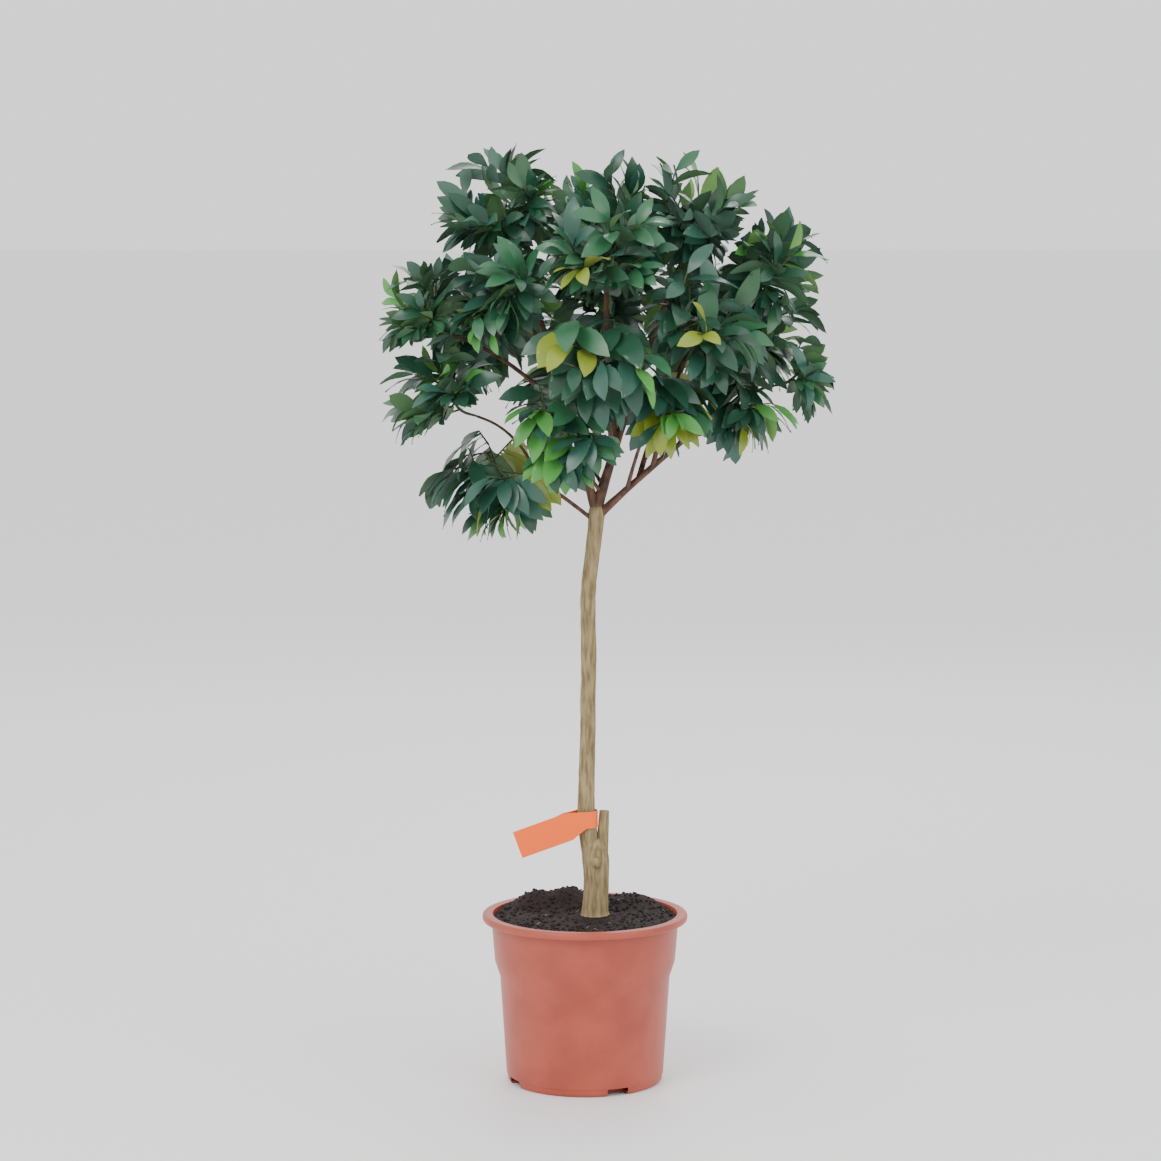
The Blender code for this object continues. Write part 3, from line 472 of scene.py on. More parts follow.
def turned(profile, segments):
    """Corner points and faces of a solid turned from (radius, height) pairs from axis to axis."""
    corners, faces, rings = [], [], []
    for radius, height in profile:
        count = segments if radius > 0 else 1
        rings.append(list(range(len(corners), len(corners) + count)))
        for k in range(count):
            angle = 2 * math.pi * k / segments
            corners.append((radius * math.cos(angle), radius * math.sin(angle), height))
    for low, high in zip(rings, rings[1:]):
        for k in range(segments):
            lower = [low[k % len(low)], low[(k + 1) % len(low)]]
            upper = [high[(k + 1) % len(high)], high[k % len(high)]]
            face = tuple(dict.fromkeys(lower + upper))
            if len(face) > 2:
                faces.append(face)
    return corners, faces


def wall_radius(height):
    """The pot's outer radius at a height under the rim."""
    line = (
        (0.0, FOOT_RADIUS),
        (STEP_FOOT_HEIGHT, STEP_FOOT_RADIUS),
        (COLLAR_FOOT_HEIGHT, COLLAR_FOOT_RADIUS),
        (POT_HEIGHT, COLLAR_TOP_RADIUS),
    )
    for (low, low_radius), (high, high_radius) in zip(line, line[1:]):
        if height <= high:
            share = (height - low) / (high - low)
            return low_radius + share * (high_radius - low_radius)
    return COLLAR_TOP_RADIUS


def arc(centre_radius, centre_height, radius, first, last, steps):
    """Points of a rounding in a turned profile, from the first angle to the last, in degrees."""
    found = []
    for i in range(steps + 1):
        angle = math.radians(first + (last - first) * i / steps)
        found.append((centre_radius + radius * math.cos(angle), centre_height + radius * math.sin(angle)))
    return found


def soil_height(x, y):
    """The height of the soil's surface: heaps over a level that rises from the front to the back."""
    share = 0.5 + 0.5 * y / COLLAR_TOP_RADIUS
    height = SOIL_EDGE_FRONT + share * (SOIL_EDGE_BACK - SOIL_EDGE_FRONT)
    for heap_x, heap_y, rise, width in SOIL_HEAPS:
        apart = ((x - heap_x) ** 2 + (y - heap_y) ** 2) / width**2
        height += rise * math.exp(-apart)
    return height


def stations(table):
    """The axis points and radii of a trunk table."""
    return [Vector((x, y, z)) for z, x, y, _ in table], [radius for *_, radius in table]


def tag_path():
    """The strip's middle line seen from above, as (x, y) points: flag, loop and tail."""
    centre = Vector((TAG_LOOP_X, 0))
    shares = [1 - i / TAG_FLAG_STEPS for i in range(TAG_FLAG_STEPS)]
    flag = [Vector((-TAG_FLAG_LENGTH * share, -TAG_LOOP_RADIUS)) for share in shares]
    loop = []
    for i in range(TAG_LOOP_STEPS + 1):
        angle = math.radians(-90 + TAG_LOOP_TURN * i / TAG_LOOP_STEPS)
        loop.append(Vector((math.cos(angle), math.sin(angle))) * TAG_LOOP_RADIUS)
    tail = Vector((-TAG_LOOP_RADIUS - TAG_TAIL_LENGTH, -TAG_LOOP_RADIUS + TAG_TAIL_GAP))
    bend = loop[-1].lerp(tail, TAG_BEND_AT) + Vector((0, TAG_BEND_ASIDE))
    return [centre + point for point in flag + loop + [bend, tail]]


def limb_line(start, tip, bow):
    """Points of a limb's axis, from its start to its tip, bowed in its middle."""
    middle = (start + tip) / 2 + 2 * Vector(bow)
    points = []
    for i in range(LIMB_STATIONS + 1):
        t = i / LIMB_STATIONS
        points.append(start * (1 - t) ** 2 + middle * 2 * t * (1 - t) + tip * t**2)
    return points


def along_line(points, share):
    """The point at that share of a line's stations."""
    place = share * (len(points) - 1)
    i = min(int(place), len(points) - 2)
    return points[i].lerp(points[i + 1], place - i)


def limb_routes():
    """Each limb's axis points and radii by name, with the trunk's scion as the first."""
    points, radii = stations(SCION)
    routes = {"trunk": (points, radii)}
    carried = {mass.limb: mass for mass in MASSES}
    for limb in LIMBS:
        start = along_line(routes[limb.parent][0], limb.at)
        if limb.tip:
            tip = Vector(limb.tip)
        else:
            mass = carried[limb.name]
            centre = Vector(mass.centre)
            tip = centre - (centre - start).normalized() * mass.reach * LIMB_TIP_AT
        line = limb_line(start, tip, limb.bow)
        taper = []
        for i in range(len(line)):
            t = i / (len(line) - 1)
            collar = 1 + (BRANCH_COLLAR - 1) * max(0.0, 1 - t / BRANCH_COLLAR_LENGTH)
            taper.append((limb.base_radius + (limb.tip_radius - limb.base_radius) * t) * collar)
        routes[limb.name] = (line, taper)
    return routes


def leaf_shape(root, along, face, length):
    """Corner points and faces of the solids' leaf, which marks the room that a leaf takes.

    Its six corners all lie on its margin. The upper side and the underside join them by different
    diagonals, and a slight twist between the two leaves a thin body between them.
    """
    side = along.cross(face).normalized()
    face = side.cross(along).normalized()

    def corner(at, width, rise):
        return root + (along * at + side * width * LEAF_WIDTH / 2 + face * rise) * length

    corners = [
        root,
        corner(LEAF_SHOULDER_AT, -1, LEAF_SHOULDER_RISE - LEAF_TWIST),
        corner(LEAF_CHEEK_AT, -LEAF_CHEEK_WIDTH, LEAF_CHEEK_RISE + LEAF_TWIST),
        root + along * length,
        corner(LEAF_CHEEK_AT, LEAF_CHEEK_WIDTH, LEAF_CHEEK_RISE - LEAF_TWIST),
        corner(LEAF_SHOULDER_AT, 1, LEAF_SHOULDER_RISE + LEAF_TWIST),
    ]
    upper = [(0, 1, 5), (1, 2, 5), (5, 2, 4), (2, 3, 4)]
    under = [(1, 2, 3), (1, 3, 4), (1, 4, 0), (0, 4, 5)]
    return corners, upper + under


def shape_tree(shape):
    """The search tree of a shape, for finding overlaps."""
    return BVHTree.FromPolygons(*shape)


class Space:
    """The space of a mass: nearer to it than to its neighbours, within its reach, clear of limbs.

    It also keeps to the box of the solids.
    """

    def __init__(self, mass, limbs):
        self.centre = Vector(mass.centre)
        self.reach = mass.reach
        self.limbs = limbs
        self.taken = []
        self.middles = []
        self.walls = []
        for other in MASSES:
            apart = Vector(other.centre) - self.centre
            if 0 < apart.length:
                limit = (apart.length**2 + mass.reach**2 - other.reach**2) / (2 * apart.length)
                self.walls.append((apart.normalized(), limit - SPACE_MARGIN))

    def holds(self, points):
        """True if all the points lie inside the walls, the reach and the box."""
        for point in points:
            away = point - self.centre
            if away.length > self.reach:
                return False
            if any(away.dot(wall) > limit for wall, limit in self.walls):
                return False
            if any(not low <= x <= high for low, x, high in zip(CAD_LOW, point, CAD_HIGH)):
                return False
        return True

    def free_run(self, start, way):
        """How far one can go that way before leaving the space."""
        step = self.reach / SPACE_STEPS
        run = 0.0
        while self.holds([start + way * (run + step)]):
            run += step
        return run

    def touches_limb(self, shape):
        """True if the shape comes too near a limb."""
        return bool(self.limbs.overlap(shape_tree(shape)))

    def room(self, point):
        """How far the point is from the middle of the nearest leaf or fruit."""
        return min(((point - middle).length for middle in self.middles), default=self.reach)

    def admits(self, shape):
        """True if the shape keeps inside the space, off the limbs and off all that grew before."""
        if not self.holds(shape[0]) or self.touches_limb(shape):
            return False
        tree = shape_tree(off_root(shape))
        return not any(tree.overlap(other) for other in self.taken)

    def take(self, shape):
        """Keeps the place of a leaf or fruit."""
        self.taken.append(shape_tree(off_root(shape)))
        self.middles.append(sum(shape[0], Vector()) / len(shape[0]))


def off_root(shape):
    """A leaf or fruit without the part next to its root, which meets its own twig."""
    corners, faces = shape
    middle = sum(corners, Vector()) / len(corners)
    return [corners[0].lerp(middle, ROOT_PART)] + corners[1:], faces


def outward_axis(mass):
    """The way a mass faces: away from the crown's heart and a little up."""
    away = Vector(mass.centre) - CROWN_HEART
    away.z += MASS_LIFT * away.length
    return away.normalized()


def cone_direction(axis, k, count):
    """The k-th of some directions spread evenly over a cone round the axis."""
    polar = math.acos(1 - (k + 0.5) / count * (1 - math.cos(SHOOT_CONE)))
    side = Quaternion(axis, k * GOLDEN_ANGLE) @ axis.orthogonal().normalized()
    return axis * math.cos(polar) + side * math.sin(polar)


def leaf_pose(way, turn, spread, mass, point, rng):
    """The direction of a leaf that leaves a twig, and the way its upper side faces."""
    side = Quaternion(way, turn) @ way.orthogonal().normalized()
    along = way * math.cos(spread) + side * math.sin(spread)
    along = (along - Vector((0, 0, mass.hang))).normalized()
    away = point - CROWN_HEART
    away.z = 0
    face = Vector((0, 0, FACE_UP)) + away.normalized() * FACE_OUT
    face += Vector((rng.uniform(-1, 1), rng.uniform(-1, 1), 0)) * FACE_STRAY
    face -= along * face.dot(along)
    return along, face.normalized()


def grow_shoot(mass, space, start, way, rng):
    """A shoot's axis and shape, or nothing where it would leave the space or hardly grow."""
    free = space.free_run(start, way)
    length = min(free * SHOOT_SHARE, mass.reach * SHOOT_REACH) * rng.uniform(*SHOOT_LENGTHS)
    line = [start, start + (way + Vector((0, 0, SHOOT_LIFT - SHOOT_SAG * mass.hang))) * length]
    twig = tube(line, [TWIG_RADIUS, TWIG_TIP_RADIUS], TWIG_SIDES)
    if length < SHOOT_SHORTEST or not space.holds(twig[0]) or space.touches_limb(twig):
        return None
    return line, twig


def grow_leaves(mass, space, line, rng, count):
    """The poses of a shoot's leaves, each turned to where it has the most room."""
    heading = (line[1] - line[0]).normalized()
    first, run, last = LEAF_PLACES
    widest, loss = LEAF_SPREAD
    leaves = []
    for i in range(count):
        share = last if i == count - 1 else first + run * i / (count - 1)
        node = along_line(line, share)
        spread = math.radians(widest - loss * share)
        size = mass.leaf * rng.uniform(*LEAF_SIZES) * LEAF_SCALE
        turn = rng.uniform(0, 2 * math.pi)
        best, best_shape, best_room = None, None, 0.0
        for k in range(LEAF_TURNS):
            opening = spread * (1.0 + LEAF_OPENING * ((k % 3) - 1))
            along, face = leaf_pose(heading, turn + k * GOLDEN_ANGLE, opening, mass, node, rng)
            room = space.room(node + along * size * LEAF_MIDDLE)
            if room < best_room:
                continue
            for shorten in LEAF_LENGTHS:
                shape = leaf_shape(node, along, face, size * shorten)
                if space.admits(shape):
                    best, best_shape, best_room = (node, along, face, size * shorten), shape, room
                    break
        if best:
            space.take(best_shape)
            leaves.append(best)
    return leaves


def grow_stem(mass, space, route):
    """The stem's axis: from its limb's tip to past the middle of the mass, round the limbs."""
    points, radii = route
    ahead = (points[-1] - points[-2]).normalized()
    start = points[-1] + ahead * GAP
    centre = Vector(mass.centre)
    reach = (centre - start).length
    across = ahead.orthogonal().normalized()
    thickness = [min(STEM_RADIUS, radii[-1])] + [STEM_RADIUS * share for share in STEM_TAPER]
    bend, bend_aside = STEM_BEND
    for k in range(STEM_TRIES):
        aside = Quaternion(ahead, k * GOLDEN_ANGLE) @ across * reach * STEM_SIDESTEP * k
        end = centre + (centre - start) * STEM_PAST_MIDDLE + aside
        line = [start, start + ahead * reach * bend + aside * bend_aside, end]
        if not space.touches_limb(tube(line, thickness, STEM_SIDES)):
            return line
    raise RuntimeError(f"{mass.name} has no way round the limbs for its stem")


def limbs_tree(routes):
    """A search tree of the trunk and all limbs, each thicker by a clearance."""
    corners, faces = [], []
    for points, radii in routes.values():
        ahead = (points[-1] - points[-2]).normalized() * GAP * 0.5
        run = points[:-1] + [points[-1] + ahead]
        shape = tube(run, [radius + 3 * GAP for radius in radii], LIMB_SIDES)
        faces += [tuple(i + len(corners) for i in face) for face in shape[1]]
        corners += shape[0]
    return BVHTree.FromPolygons(corners, faces)


def linear(code):
    """An sRGB hex colour as linear numbers."""
    values = [int(code[i : i + 2], 16) / 255 for i in (1, 3, 5)]
    return [v / 12.92 if v <= 0.04045 else ((v + 0.055) / 1.055) ** 2.4 for v in values]


def add_node(tree, kind, settings=None, links=()):
    """Adds a shader node with its settings and its (socket, source, output) links."""
    node = tree.nodes.new(kind)
    for name, value in (settings or {}).items():
        if name in node.inputs:
            node.inputs[name].default_value = value
        else:
            setattr(node, name, value)
    for socket, source, output in links:
        tree.links.new(source.outputs[output], node.inputs[socket])
    return node


def plain_material(name, colour, roughness):
    """A Principled material of one linear colour."""
    made = bpy.data.materials.new(name)
    made.use_nodes = True
    shader = made.node_tree.nodes["Principled BSDF"]
    shader.inputs["Base Color"].default_value = (*colour, 1)
    shader.inputs["Roughness"].default_value = roughness
    return made


def mottled_material(name, dark, light, grain_mm, roughness, stretch=(1, 1, 1), relief=None):
    """A Principled material that wanders between two tones, in grains of a size in millimetres.

    The relief is the strength of the bump that follows the grains, and its depth in metres.
    """
    made = plain_material(name, light, roughness)
    tree = made.node_tree
    shader = tree.nodes["Principled BSDF"]
    place = add_node(tree, "ShaderNodeTexCoord")
    spread = add_node(tree, "ShaderNodeMapping", {"Scale": stretch}, [("Vector", place, "Object")])
    grains = {"Scale": 1000 / grain_mm, "Detail": 6.0}
    grain = add_node(tree, "ShaderNodeTexNoise", grains, [("Vector", spread, "Vector")])
    ramp = add_node(tree, "ShaderNodeValToRGB", None, [("Fac", grain, "Fac")])
    for stop, position, colour in zip(ramp.color_ramp.elements, (0.35, 0.65), (dark, light)):
        stop.position = position
        stop.color = (*colour, 1)
    tree.links.new(ramp.outputs["Color"], shader.inputs["Base Color"])
    if relief:
        settings = {"Strength": relief[0], "Distance": relief[1]}
        bump = add_node(tree, "ShaderNodeBump", settings, [("Height", grain, "Fac")])
        tree.links.new(bump.outputs["Normal"], shader.inputs["Normal"])
    return made


def piece(name, points, faces, materials, indices=None, smooth=True):
    """A mesh object with its materials, and the index of each face's material."""
    if not faces:
        raise RuntimeError(f"{name} has no faces")
    mesh = bpy.data.meshes.new(name)
    mesh.from_pydata([tuple(p) for p in points], [], faces)
    for material in materials:
        mesh.materials.append(material)
    for face, index in zip(mesh.polygons, indices or [0] * len(faces)):
        face.material_index = index
        face.use_smooth = smooth
    mesh.validate()
    made = bpy.data.objects.new(name, mesh)
    bpy.context.scene.collection.objects.link(made)
    return made


def closed_piece(name, shapes, materials, smooth=True):
    """A piece of closed (corners, faces, index) shapes, with all their faces turned outwards."""
    points, faces, indices = gather(shapes)
    made = piece(name, points, faces, materials, indices, smooth)
    edit = bmesh.new()
    edit.from_mesh(made.data)
    bmesh.ops.recalc_face_normals(edit, faces=edit.faces)
    edit.to_mesh(made.data)
    edit.free()
    return made


def fit_to_frame(obj, nodes):
    """Moves the piece with the plant's one body, in place of its solids."""
    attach(obj, "root")
    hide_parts(*nodes)


def smooth_line(points, steps):
    """Points along a line through the given ones, as a smooth curve."""
    found = []
    last = len(points) - 1
    for i in range(last):
        a, b = points[max(i - 1, 0)], points[i]
        c, d = points[i + 1], points[min(i + 2, last)]
        for k in range(steps):
            t = k / steps
            square, cube = 2 * a - 5 * b + 4 * c - d, 3 * b - a - 3 * c + d
            found.append(0.5 * (2 * b + (c - a) * t + square * t**2 + cube * t**3))
    return found + [points[-1]]


def smooth_run(points, radii, steps):
    """A tube's points and radii, both run smoothly, with some steps between each two."""
    values = smooth_line([Vector((radius, 0, 0)) for radius in radii], steps)
    return smooth_line(points, steps), [value.x for value in values]


def bark_tube(points, radii, sides, relief, grain):
    """A tube with long fissures and swellings in its skin."""
    corners = []
    run = 0.0
    for i, (point, (along, across)) in enumerate(zip(points, headings(points))):
        if i:
            run += (point - points[i - 1]).length
        for k in range(sides):
            angle = 2 * math.pi * k / sides
            out = Quaternion(along, angle) @ across
            spot = Vector((math.cos(angle), math.sin(angle), 0)) * grain
            fissure = abs(noise.noise(spot * FISSURE_ACROSS + Vector((0, 0, run * FISSURE_ALONG))))
            place = SWELL_PLACE + Vector((0, 0, run * SWELL_ALONG))
            swell = SWELL_DEPTH * noise.noise(spot * SWELL_ACROSS + place)
            depth = relief * (FISSURE_DEPTH * min(fissure, FISSURE_LIMIT) - SKIN_SUNK + swell)
            corners.append(point + out * (radii[i] + depth))
    last = len(corners) - sides
    ends = [tuple(reversed(range(sides))), tuple(range(last, len(corners)))]
    return corners, side_faces(len(points), sides) + ends


def gather(shapes):
    """One list of corners, faces and indices from (corners, faces, index) shapes."""
    corners, faces, indices = [], [], []
    for shape_corners, shape_faces, index in shapes:
        faces += [tuple(i + len(corners) for i in face) for face in shape_faces]
        indices += [index] * len(shape_faces)
        corners += shape_corners
    return corners, faces, indices


def bark_shapes(trunk_relief, limb_relief):
    """The trunk's parts as tubes of old bark, with index 0, and the limbs as young bark, with index 1."""
    rows = []
    for table, steps in ((ROOTSTOCK, ROOTSTOCK_STEPS), (SCION, SCION_STEPS)):
        run = smooth_run(*stations(table), steps)
        rows.append((*run, TRUNK_SKIN_SIDES, trunk_relief, TRUNK_GRAIN, 0))
    stub = [STUB_FOOT.lerp(STUB_TOP, i / STUB_STEPS) for i in range(STUB_STEPS + 1)]
    taper = STUB_TOP_RADIUS - STUB_FOOT_RADIUS
    radii = [STUB_FOOT_RADIUS + taper * i / STUB_STEPS for i in range(STUB_STEPS + 1)]
    rows.append((stub, radii, STUB_SKIN_SIDES, trunk_relief * STUB_RELIEF, STUB_GRAIN, 0))
    back = Vector((ROOTSTOCK[KNOT_STATION][1] + KNOT_ASIDE, -KNOT_BACK, KNOT_HEIGHT))
    forward = Vector((0, KNOT_DEPTH - KNOT_BACK, 0))
    knot = [back - forward * i / KNOT_STEPS for i in range(KNOT_STEPS + 1)]
    radii = [KNOT_RADIUS * (KNOT_FOOT - KNOT_TAPER * i) for i in range(KNOT_STEPS + 1)]
    rows.append((knot, radii, KNOT_SKIN_SIDES, KNOT_RELIEF, LIMB_GRAIN, 0))
    routes = limb_routes()
    for limb in LIMBS:
        run = smooth_run(*routes[limb.name], LIMB_SKIN_STEPS)
        rows.append((*run, LIMB_SKIN_SIDES, limb_relief, LIMB_GRAIN, 1))
    return [(*bark_tube(*row), index) for *row, index in rows]


def blade_half(t):
    """Half the width of a blade at a share of its length, from its stalk to its point."""
    if t < BLADE_STALK:
        half = BLADE_STALK_HALF + BLADE_STALK_FLARE * t
    else:
        half = 0.5 * BLADE_WIDTH * math.sin(math.pi * (t - BLADE_START) / BLADE_RUN) ** BLADE_FULLNESS
    return max(BLADE_NARROWEST, half)


def in_box(point):
    """The point, moved to the wall of the solids' box if it lies outside."""
    return Vector(min(max(x, low), high) for low, x, high in zip(CAD_LOW, point, CAD_HIGH))


def blade(node, along, face, length, upper, under, wave):
    """A leaf's upper side and underside, arched, folded at its midrib and pointed at both ends."""
    side = along.cross(face).normalized()
    face = side.cross(along).normalized()
    columns = len(BLADE_COLUMNS)
    shapes = []
    for index, sink in ((upper, 0.0), (under, BLADE_THICKNESS)):
        corners, faces = [], []
        for i in range(BLADE_STEPS + 1):
            t = i / BLADE_STEPS
            half = blade_half(t)
            for u in BLADE_COLUMNS:
                ripple = BLADE_WAVE * wave * math.sin(BLADE_WAVES * t + BLADE_WAVE_SHIFT * u) * abs(u)
                rise = BLADE_ARCH * t * (1 - t) + BLADE_FOLD * half * abs(u) + ripple
                place = (along * t + side * half * u + face * rise) * length
                corners.append(in_box(node + place - face * sink))
        for i in range(BLADE_STEPS):
            for k in range(columns - 1):
                a = i * columns + k
                quad = (a, a + 1, a + 1 + columns, a + columns)
                faces.append(quad if index == upper else quad[::-1])
        shapes.append((corners, faces, index))
    return shapes


def fruit_surface(node, way, length):
    """An oval fruit that hangs from its stalk."""
    corners = []
    centre = node + way * (length * 0.5 + FRUIT_STALK)
    across = way.orthogonal().normalized()
    width = length * FRUIT_WIDTH / FRUIT_LENGTH
    for i in range(FRUIT_SKIN_RINGS + 1):
        angle = math.pi * i / FRUIT_SKIN_RINGS
        for k in range(FRUIT_SKIN_SIDES):
            out = Quaternion(way, 2 * math.pi * k / FRUIT_SKIN_SIDES) @ across
            reach = max(FRUIT_POLE, math.sin(angle) * width / 2)
            corners.append(centre - way * math.cos(angle) * length / 2 + out * reach)
    return corners, side_faces(FRUIT_SKIN_RINGS + 1, FRUIT_SKIN_SIDES)


def place_shoots(mass, routes, limbs, rng):
    """A mass's space, stem and shoots by the solids' rule, and the finer side shoots."""
    space = Space(mass, limbs)
    stem = grow_stem(mass, space, routes[mass.limb])
    axis = outward_axis(mass)
    first, run = STEM_SHOOTS
    shoots = []
    for k in range(mass.shoots):
        start = along_line(stem, first + run * k / mass.shoots)
        shoot = grow_shoot(mass, space, start, cone_direction(axis, k, mass.shoots), rng)
        if shoot:
            shoots.append(shoot[0])
            space.taken.append(shape_tree(shoot[1]))
    first, step = SIDE_SHOOT_PLACES
    side_shoots = []
    for line in shoots:
        heading = (line[1] - line[0]).normalized()
        for k in range(SIDE_SHOOTS):
            turn = Quaternion(heading, k * GOLDEN_ANGLE + rng.uniform(0, 1))
            way = (heading + turn @ heading.orthogonal().normalized()).normalized()
            shoot = grow_shoot(mass, space, along_line(line, first + step * k), way, rng)
            if shoot:
                side_shoots.append(shoot[0])
                space.taken.append(shape_tree(shoot[1]))
    return space, stem, shoots, side_shoots


def place_fruit(space, line, length, rng):
    """A fruit near a shoot's tip, or nothing where it finds no room."""
    node = along_line(line, FRUIT_AT)
    tilt = Vector((0, 0, rng.uniform(*FRUIT_TILT)))
    way = ((node - CROWN_HEART).normalized() + tilt).normalized()
    shape = fruit_surface(node, way, length * rng.uniform(*FRUIT_SIZES))
    if not space.admits(shape):
        return None
    space.take(shape)
    return (*shape, 0)


def dress_mass(number, mass, routes, limbs, fruit_length):
    """The twigs, leaves and fruit of a mass, as shapes with the index of their material."""
    rng = random.Random(number)
    space, stem, shoots, side_shoots = place_shoots(mass, routes, limbs, rng)
    radii = [min(STEM_RADIUS, routes[mass.limb][1][-1]), STEM_RADIUS, STEM_RADIUS]
    radii = [radius * share for radius, share in zip(radii, STEM_SKIN_TAPER)]
    run = smooth_run(stem, radii, STEM_SKIN_STEPS)
    twigs = [(*bark_tube(*run, STEM_SKIN_SIDES, STEM_RELIEF, 1.0), 0)]
    leaves, fruits = [], []
    low = mass.hang > 1.0 or mass.name == "foliage_far_right"
    weights = TONE_SHARES_LOW if low else TONE_SHARES
    for k, line in enumerate(shoots + side_shoots):
        tone = rng.choices(range(len(LEAF_TONES)), weights)[0]
        radii = [TWIG_RADIUS, TWIG_TIP_RADIUS * TWIG_POINT]
        twigs.append((*tube(line, radii, TWIG_SKIN_SIDES), 0))
        count = LEAVES_ON_SIDE_SHOOT
        if k < len(shoots):
            count = LEAVES_ON_SHOOT
            fruit = len(fruits) < mass.fruits and place_fruit(space, line, fruit_length, rng)
            if fruit:
                fruits.append(fruit)
        for pose in grow_leaves(mass, space, line, rng, count):
            leaves += blade(*pose, 2 * tone, 2 * tone + 1, rng.uniform(*BLADE_WAVINESS))
    return twigs, leaves, fruits


def pot_profile():
    """The pot's outline as (radius, height) pairs, up its outside and down its inside."""
    rim_foot = POT_HEIGHT - RIM_HEIGHT
    band_back = wall_radius(FOOT_BAND_HEIGHT) - FOOT_BAND_SET_BACK
    foot_centre = FOOT_RADIUS - FOOT_BAND_SET_BACK - FOOT_ROUNDING
    rim_centre = RIM_RADIUS - RIM_ROUNDING
    inner = [POT_HEIGHT - RIM_INNER_DROP, COLLAR_FOOT_HEIGHT, STEP_FOOT_HEIGHT, FLOOR]
    return [
        (0, 0),
        *arc(foot_centre, FOOT_ROUNDING, FOOT_ROUNDING, -90, -10, FOOT_ARC_STEPS),
        (band_back, FOOT_BAND_HEIGHT - FOOT_BAND_SET_BACK),
        (wall_radius(FOOT_BAND_HEIGHT), FOOT_BAND_HEIGHT),
        (STEP_FOOT_RADIUS, STEP_FOOT_HEIGHT),
        (COLLAR_FOOT_RADIUS, COLLAR_FOOT_HEIGHT),
        (wall_radius(rim_foot), rim_foot),
        *arc(rim_centre, rim_foot + RIM_ROUNDING, RIM_ROUNDING, -80, 0, RIM_ARC_STEPS),
        *arc(rim_centre, POT_HEIGHT - RIM_ROUNDING, RIM_ROUNDING, 0, 90, RIM_ARC_STEPS),
        (COLLAR_TOP_RADIUS - WALL + RIM_INNER_LIP, POT_HEIGHT),
        *[(wall_radius(height) - WALL, height) for height in inner],
        (0, FLOOR),
    ]


def drain_cutter(k):
    """The block that cuts the k-th drain notch through the foot's corner."""
    angle = DRAIN_FIRST_ANGLE + 2 * math.pi * k / DRAIN_COUNT
    outward = Vector((math.sin(angle), -math.cos(angle), 0))
    across = Vector((-outward.y, outward.x, 0)) * DRAIN_WIDTH / 2
    near, far = outward * DRAIN_INNER_RADIUS, outward * RIM_RADIUS
    foot, head = Vector((0, 0, -DRAIN_BELOW)), Vector((0, 0, DRAIN_HEIGHT))
    plan = [near - across, far - across, far + across, near + across]
    corners = [point + foot for point in plan] + [point + head for point in plan]
    walls = [(i, (i + 1) % 4, (i + 1) % 4 + 4, i + 4) for i in range(4)]
    return closed_piece(f"drain_{k}", [(corners, walls + [(0, 1, 2, 3), (4, 5, 6, 7)], 0)], [])


def peat_height(x, y):
    """The height of the rough peat, level round the trunk's foot."""
    crumb = sum(noise.noise(Vector((x, y, z)) * fine) * high for z, fine, high in PEAT_ROUGHNESS)
    away = math.hypot(x - ROOTSTOCK[0][1], y) - PEAT_SEAT
    seat = min(1.0, max(0.0, away / PEAT_SEAT_EDGE))
    return GROUND_LEVEL * (1 - seat) + soil_height(x, y) * seat + crumb


def peat_surface(edge):
    """The peat's open surface, out to the pot's wall."""
    corners = [Vector((0, 0, soil_height(0, 0)))]
    for i in range(1, PEAT_RINGS + 1):
        for k in range(PEAT_SIDES):
            angle = 2 * math.pi * k / PEAT_SIDES
            radius = edge * i / PEAT_RINGS
            x, y = radius * math.cos(angle), radius * math.sin(angle)
            corners.append(Vector((x, y, peat_height(x, y))))
    faces = [(0, 1 + k, 1 + (k + 1) % PEAT_SIDES) for k in range(PEAT_SIDES)]
    for i in range(PEAT_RINGS - 1):
        for k in range(PEAT_SIDES):
            a, b = 1 + i * PEAT_SIDES + k, 1 + i * PEAT_SIDES + (k + 1) % PEAT_SIDES
            faces.append((a, a + PEAT_SIDES, b + PEAT_SIDES, b))
    return corners, faces, 0


def crumb_shape(spot, way, size):
    """A small uneven crumb."""
    corners = []
    across = way.orthogonal().normalized()
    for i, share in enumerate(CRUMB_PROFILE):
        for k in range(CRUMB_SIDES):
            out = Quaternion(way, 2 * math.pi * k / CRUMB_SIDES + i) @ across
            corners.append(spot + way * size * (i - 1.5) * 0.5 + out * size * share)
    last = len(corners) - CRUMB_SIDES
    ends = [tuple(range(CRUMB_SIDES)), tuple(range(last, len(corners)))]
    return corners, side_faces(len(CRUMB_PROFILE), CRUMB_SIDES) + ends


def peat_crumbs(edge):
    """Loose crumbs, with index 0, and pale fibres, with index 1, strewn over the peat."""
    rng = random.Random(5)
    shapes = []
    for _ in range(CRUMB_COUNT):
        angle, radius = rng.uniform(0, 2 * math.pi), edge * CRUMB_SPREAD * math.sqrt(rng.random())
        x, y = radius * math.cos(angle), radius * math.sin(angle)
        size = rng.uniform(*CRUMB_SIZES)
        spot = Vector((x, y, soil_height(x, y) + size * CRUMB_SUNK))
        pale = rng.random() < FIBRE_SHARE
        way = Vector((rng.uniform(-1, 1), rng.uniform(-1, 1), rng.uniform(-0.2, 0.5))).normalized()
        if (spot - Vector((ROOTSTOCK[0][1], 0, spot.z))).length <= CRUMB_OFF_TRUNK:
            continue
        if pale:
            shapes.append((*tube([spot, spot + way * size * FIBRE_LENGTH], FIBRE_RADII, 4), 1))
        else:
            shapes.append((*crumb_shape(spot, way, size), 0))
    return shapes


